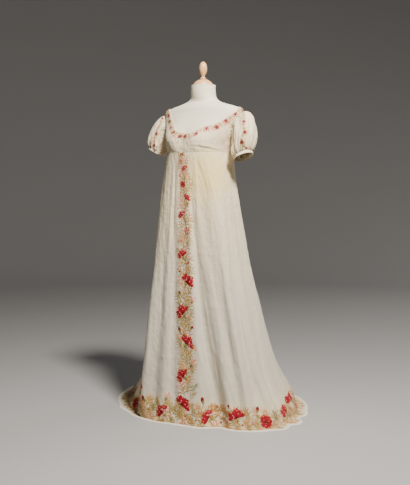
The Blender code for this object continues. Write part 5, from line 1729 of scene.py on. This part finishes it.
joinStems(stems, hemFlowers, path, 0.016)
hemSprays = []
for k, x in enumerate(np.arange(path[0][0], path[0][0] + hemLength - 0.01, hemPattern["sprayStep"])):
    for row, (y, most) in enumerate(hemPattern["sprays"]):
        x0, y0 = x + 0.010 * (row % 2) + rng.uniform(-0.005, 0.005), y + rng.uniform(-0.006, 0.006)
        turn = (-1) ** (k + row) * rng.uniform(15, most)
        if not crowded(x0, y0, largeHem, 0.007):
            bold = rng.random() < hemPattern["bold"]
            kind = shortKinds[rng.integers(3)] if bold else kinds[rng.integers(len(kinds))]
            hemSprays.append((x0, y0, kind, turn, rng.uniform(0.72, 0.98) * (1.15 if bold else 1.0)))
hemBuds = [(x, y, "rosetteDark", 0, 0.45)
           for x, y in ((-0.013, 0.060), (0.045, 0.049), (0.253, 0.043), (0.150, 0.040))]
hemEmbroidery = embroider("embroideryHem", hemSprays + hemBuds + hemFlowers, stems, hemGuide)

# flowers of the front panel: across, up the cloth from the hem, motif, turn, size
frontTop = upFromHeight(1.137)
frontFlowers = [
    (-0.026, 0.218, "carnationFan", 60, 1.23), (0.023, 0.265, "budPink", -35, 1.45),
    (0.009, 0.359, "carnationSide", -50, 1.32), (-0.028, 0.405, "budRed", 30, 1.00),
    (0.028, 0.418, "budRed", -40, 0.85), (0.019, 0.457, "budPink", -20, 0.80),
    (-0.018, 0.486, "carnationFan", 45, 1.30), (0.036, 0.531, "budPink", -35, 1.20),
    (-0.024, 0.560, "budRed", 35, 0.80), (0.017, 0.619, "carnationFan", -35, 1.28),
    (-0.022, 0.655, "budPink", 45, 0.85), (0.018, 0.688, "budRed", -40, 0.65),
    (-0.011, 0.726, "carnationFan", 35, 0.92), (-0.014, 0.782, "budPink", 35, 0.70),
    (0.018, 0.820, "dots", -20, 1.00), (-0.006, 0.890, "carnationSide", 30, 0.77),
    (0.022, 0.930, "budRed", -45, 0.55), (0.021, 0.962, "carnationFan", -35, 0.66),
    (0.001, 1.015, "carnationOpen", 0, 0.59), (-0.013, 1.050, "budPink", 40, 0.50),
    (0.014, 1.080, "carnationSide", 20, 0.59), (-0.006, 1.106, "dots", 10, 0.70),
    (-0.004, frontTop - 0.012, "budRed", -20, 0.60), (0.008, frontTop - 0.008, "rosetteDark", 0, 0.55),
]
path = [(0.004 - 0.010 * math.sin(k * 1.7), y) for k, y in enumerate(np.arange(0.150, frontTop, 0.0495))]
stems = Drawing()
meander(stems, path, 0.0010, ("olive", "moss"))
joinStems(stems, frontFlowers, path, 0.014)
frontSprays = []
y, k = 0.130, 0
while y < frontTop - 0.012:
    half = float(np.interp(y, (0.1, 0.5, 0.9, 1.12), (0.050, 0.045, 0.036, 0.030)))
    hand = (1, -1, 0)[k % 3]
    middle = float(np.interp(y, *np.array(path).T[::-1])) * 0.5
    middle = middle + float(np.interp(y, (0.5, 1.1), (-0.003, 0.009)))
    x = middle + hand * half * rng.uniform(0.20, 0.50)
    short = rng.random() < float(np.interp(y, (0.35, 0.75), (0.15, 0.9)))
    kind = shortKinds[rng.integers(3)] if short else kinds[rng.integers(len(kinds))]
    if not crowded(x, y, frontFlowers, 0.004):
        frontSprays.append((x, y, kind, -hand * rng.uniform(18, 52) + rng.uniform(-8, 8),
                            half / 0.048 * rng.uniform(0.80, 1.0) * (1.2 if short else 1.0)))
    y, k = y + (0.0115 if short else 0.0088) * half / 0.048, k + 1
frontEmbroidery = embroider("embroideryFront", frontSprays + frontFlowers, stems, frontGuide)

# florets of the neckline: run along its edge, up, motif, turn, size
neckFlowers = [
    (-0.240, -0.012, "rosetteDark", 0, 0.80), (-0.183, -0.015, "rosetteDark", 0, 0.84),
    (-0.143, -0.015, "rosetteDark", 0, 0.82), (-0.092, -0.017, "rosette", 30, 0.88),
    (-0.049, -0.012, "rosetteDark", 0, 0.84), (-0.012, -0.017, "rosetteDark", 0, 0.90),
    (0.013, -0.016, "rosetteDark", 10, 0.92), (0.059, -0.020, "rosette", 0, 1.02),
    (0.110, -0.015, "rosette", 20, 1.05), (0.147, -0.015, "rosetteDark", 0, 0.95),
    (0.191, -0.010, "rosette", 0, 1.05), (0.239, -0.009, "rosette", 15, 1.00),
]
for side, first in ((-1, 0.282), (1, 0.294)):  # on round the back, evenly
    count = int((neckHalf - first) / 0.043)
    for k in range(count + 1):
        neckFlowers.append((side * (first + (neckHalf - first) * k / (count + 0.5)), -0.0125,
                            "rosette" if k % 2 else "rosetteDark", 0, 0.80))
neckFlowers.sort()
path = [(x, y * 0.75 - 0.0030 - 0.0026 * (-1) ** k) for k, (x, y, *_) in enumerate(neckFlowers)]
path = [(-neckHalf, -0.011), *path, (neckHalf, -0.011)]
stems = Drawing()
meander(stems, path, 0.0008, ("sage", "straw"))
vine = np.array(path).T
neckSprigs = []
for k, x in enumerate(np.arange(-neckHalf, neckHalf, 0.0082)):
    y = float(np.interp(x, *vine)) - 0.0015 + (-1) ** k * 0.0042
    if not crowded(x, y, neckFlowers, 0.0065):
        neckSprigs.append((x, y, ("sprig", "sprigPink", "sprigGold")[k % 3],
                           (-1) ** k * 62 - 15 + rng.uniform(-20, 20), 0.86))
neckEmbroidery = embroider("embroideryNeckline", neckSprigs + neckFlowers, stems, neckFlowerGuide)

# florets of the sleeves, one row down each: across the row, down it, motif, turn, size
sleeveFlowers = {
    "left": [(0.000, -0.0175, "rosetteDark", 0, 0.70), (0.001, -0.048, "leaf", 170, 0.50),
             (-0.001, -0.084, "rosette", 0, 0.88), (0.001, -0.108, "leaf", 185, 0.50),
             (0.002, -0.130, "rosetteDark", 20, 0.90), (-0.003, -0.172, "rosetteDark", 0, 1.00),
             (0.009, -0.188, "leaf", 215, 0.85), (0.021, -0.200, "rosette", 0, 0.62)],
    "right": [(0.000, -0.0160, "rosetteDark", 0, 0.66), (0.004, -0.0545, "leaf", 165, 0.75),
              (0.001, -0.092, "rosetteDark", 0, 0.84), (-0.002, -0.118, "leaf", 180, 0.50),
              (0.001, -0.145, "rosetteDark", 0, 0.90), (0.003, -0.164, "leaf", 190, 0.60)],
}
sleeveEmbroidery = {}
for side, flowers in sleeveFlowers.items():
    path = [(x, y) for x, y, *_ in flowers]
    stems = Drawing()
    meander(stems, path, 0.0008, ("sage", "straw"))
    along = runAlong(np.array(path))
    sprigs = []
    for k, run in enumerate(np.arange(0.004, along[-1], 0.0080)):
        x, y = (float(np.interp(run, along, column)) for column in np.array(path).T)
        if not crowded(x, y, [row for row in flowers if row[2] != "leaf"], 0.0065):
            sprigs.append((x + 0.002 * (-1) ** k, y, ("sprig", "sprigGold", "sprigPink")[k % 3],
                           (-1) ** k * 55 + 180 * (k % 2), 0.70))
    name = side.capitalize()
    sleeveEmbroidery[side] = embroider(
        "embroiderySleeve" + name, sprigs + flowers, stems, bpy.data.objects["sleeveGuide" + name])
for obj in (hemEmbroidery, frontEmbroidery, neckEmbroidery, *sleeveEmbroidery.values()):
    print(obj.name, len(obj.data.polygons), "faces")


# ---- sewing ----

seamTurns = range(-180, 181, 2)
bandFoot = np.array([-float(bandWidth(abs(wrapped(turn)))) for turn in seamTurns])
neckStitches = sewLine("stitchesNeckline", [
    [(neckRun(turn), up) for turn, up in zip(seamTurns, ups)]
    for ups in (bandFoot + 0.0016, bandFoot - 0.0022, [-0.0042] * len(seamTurns))], neckGuide, 0.0032)
hemStitches = sewLine("stitchesHem", [
    [(x, skirt["bindingWidth"] + 0.0022) for x in np.arange(hemStart, hemStart + hemLength + 0.02, 0.02)]],
    hemGuide, 0.0036)
ups, steps = [upFromHeight(z) for z in panelHeights], np.arange(0.02, upFromHeight(1.13), 0.02)
frontStitches = sewLine("stitchesFrontPanel", [
    list(zip(np.interp(steps, ups, side) + inset, steps))
    for side, inset in ((panelRight, 0.0018), (panelLeft, -0.0018))], frontGuide, 0.0034)
for guide in [obj for obj in bpy.data.objects if "Guide" in obj.name]:
    bpy.data.objects.remove(guide)
for box in (motifBox, stitchBox):
    for obj in list(box.objects):
        bpy.data.objects.remove(obj)
    bpy.data.collections.remove(box)
print("sewing done")


# ---- what each piece rides on ----

everyCloth = [*bodicePieces.values(), *bandPieces.values(), *sleevePieces.values(), *skirtPieces.values()]
for piece in everyCloth:
    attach(piece, "root")
for piece in bindingPieces.values():
    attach(piece, "root")
for piece in (hemEmbroidery, frontEmbroidery, neckEmbroidery, *sleeveEmbroidery.values(),
              hemStitches, frontStitches, neckStitches):
    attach(piece, "root")

torso = "form_torso"


# ---- floor, light and camera ----

studio = {
    "floor": rgb(0.42, 0.41, 0.40),
    "floorDark": rgb(0.405, 0.395, 0.385),
    "floorRadius": 5.0,
    "floorDrop": 0.0002,   # under the gown's hem
    "coveRadius": 9.0,
    "coveHeight": 6.0,
    "sky": rgb(0.95, 0.96, 1.0),
    "skyStrength": 0.035,
    # name, place, aim, size, power, colour
    "lamps": (
        ("keyLight", (1.50, -0.98, 3.00), (0.0, 0.0, 1.10), 0.45, 220.0, (1.0, 0.960, 0.90)),
        ("fillLight", (1.9, -4.2, 2.4), (0.0, 0.0, 1.0), 1.4, 5.0, (1.0, 0.98, 0.96)),
        ("backLight", (1.6, 4.4, 3.6), (0.6, 2.6, 0.0), 2.0, 60.0, (1.0, 0.98, 0.95)),
    ),
    "cameraPlace": (2.463, -3.152, 1.05),
    "cameraTurn": 38.0,
    "cameraPitch": 4.191,
    "lens": 69.77,
    "shift": 0.0037,
}


def makeFloor():
    radii = [0.0, 0.6, 1.2, 2.0, 3.0, studio["floorRadius"]]
    heights = [0.0] * len(radii)
    cove = studio["coveRadius"] - studio["floorRadius"]
    for step in np.linspace(0, math.pi / 2, 25)[1:]:
        radii.append(studio["floorRadius"] + cove * math.sin(step))
        heights.append(studio["coveHeight"] * (1 - math.cos(step)))
    grid = turnedGrid(radii, np.array(heights) - studio["floorDrop"], 96)
    material, shader, n, place = newMaterial("paleFloor", 0.75, {})
    clouds = n.noise(place, 1.4, 3.0)
    n.put(shader.inputs["Base Color"], n.mix(clouds, studio["floor"], studio["floorDark"]))
    floor = meshObject("studioFloor", grid.reshape(-1, 3), gridFaces(*grid.shape[:2], flip=True), material)
    shape = bmesh.new()
    shape.from_mesh(floor.data)
    bmesh.ops.remove_doubles(shape, verts=shape.verts, dist=0.0001)  # at the middle and the seam
    shape.normal_update()
    if sum(face.normal.z for face in shape.faces) < 0:
        bmesh.ops.reverse_faces(shape, faces=shape.faces)
    shape.to_mesh(floor.data)
    shape.free()


def aim(obj, place, target):
    obj.location = place
    obj.rotation_euler = (Vector(target) - Vector(place)).to_track_quat("-Z", "Y").to_euler()


makeFloor()
world = bpy.data.worlds.new("studioSky")
world.use_nodes = True
world.node_tree.nodes["Background"].inputs["Color"].default_value = studio["sky"]
world.node_tree.nodes["Background"].inputs["Strength"].default_value = studio["skyStrength"]
bpy.context.scene.world = world
for name, place, target, size, power, colour in studio["lamps"]:
    lamp = bpy.data.lights.new(name, "AREA")
    lamp.shape, lamp.size, lamp.energy, lamp.color = "DISK", size, power, colour
    obj = bpy.data.objects.new(name, lamp)
    bpy.context.scene.collection.objects.link(obj)
    aim(obj, place, target)
view = bpy.data.cameras.new("studioCamera")
view.lens, view.sensor_width, view.sensor_fit = studio["lens"], 36.0, "AUTO"
view.shift_x, view.clip_end = studio["shift"], 60.0
camera = bpy.data.objects.new("studioCamera", view)
bpy.context.scene.collection.objects.link(camera)
camera.location = studio["cameraPlace"]
camera.rotation_euler = (math.radians(90 - studio["cameraPitch"]), 0, math.radians(studio["cameraTurn"]))
bpy.context.scene.camera = camera
print("studio made")
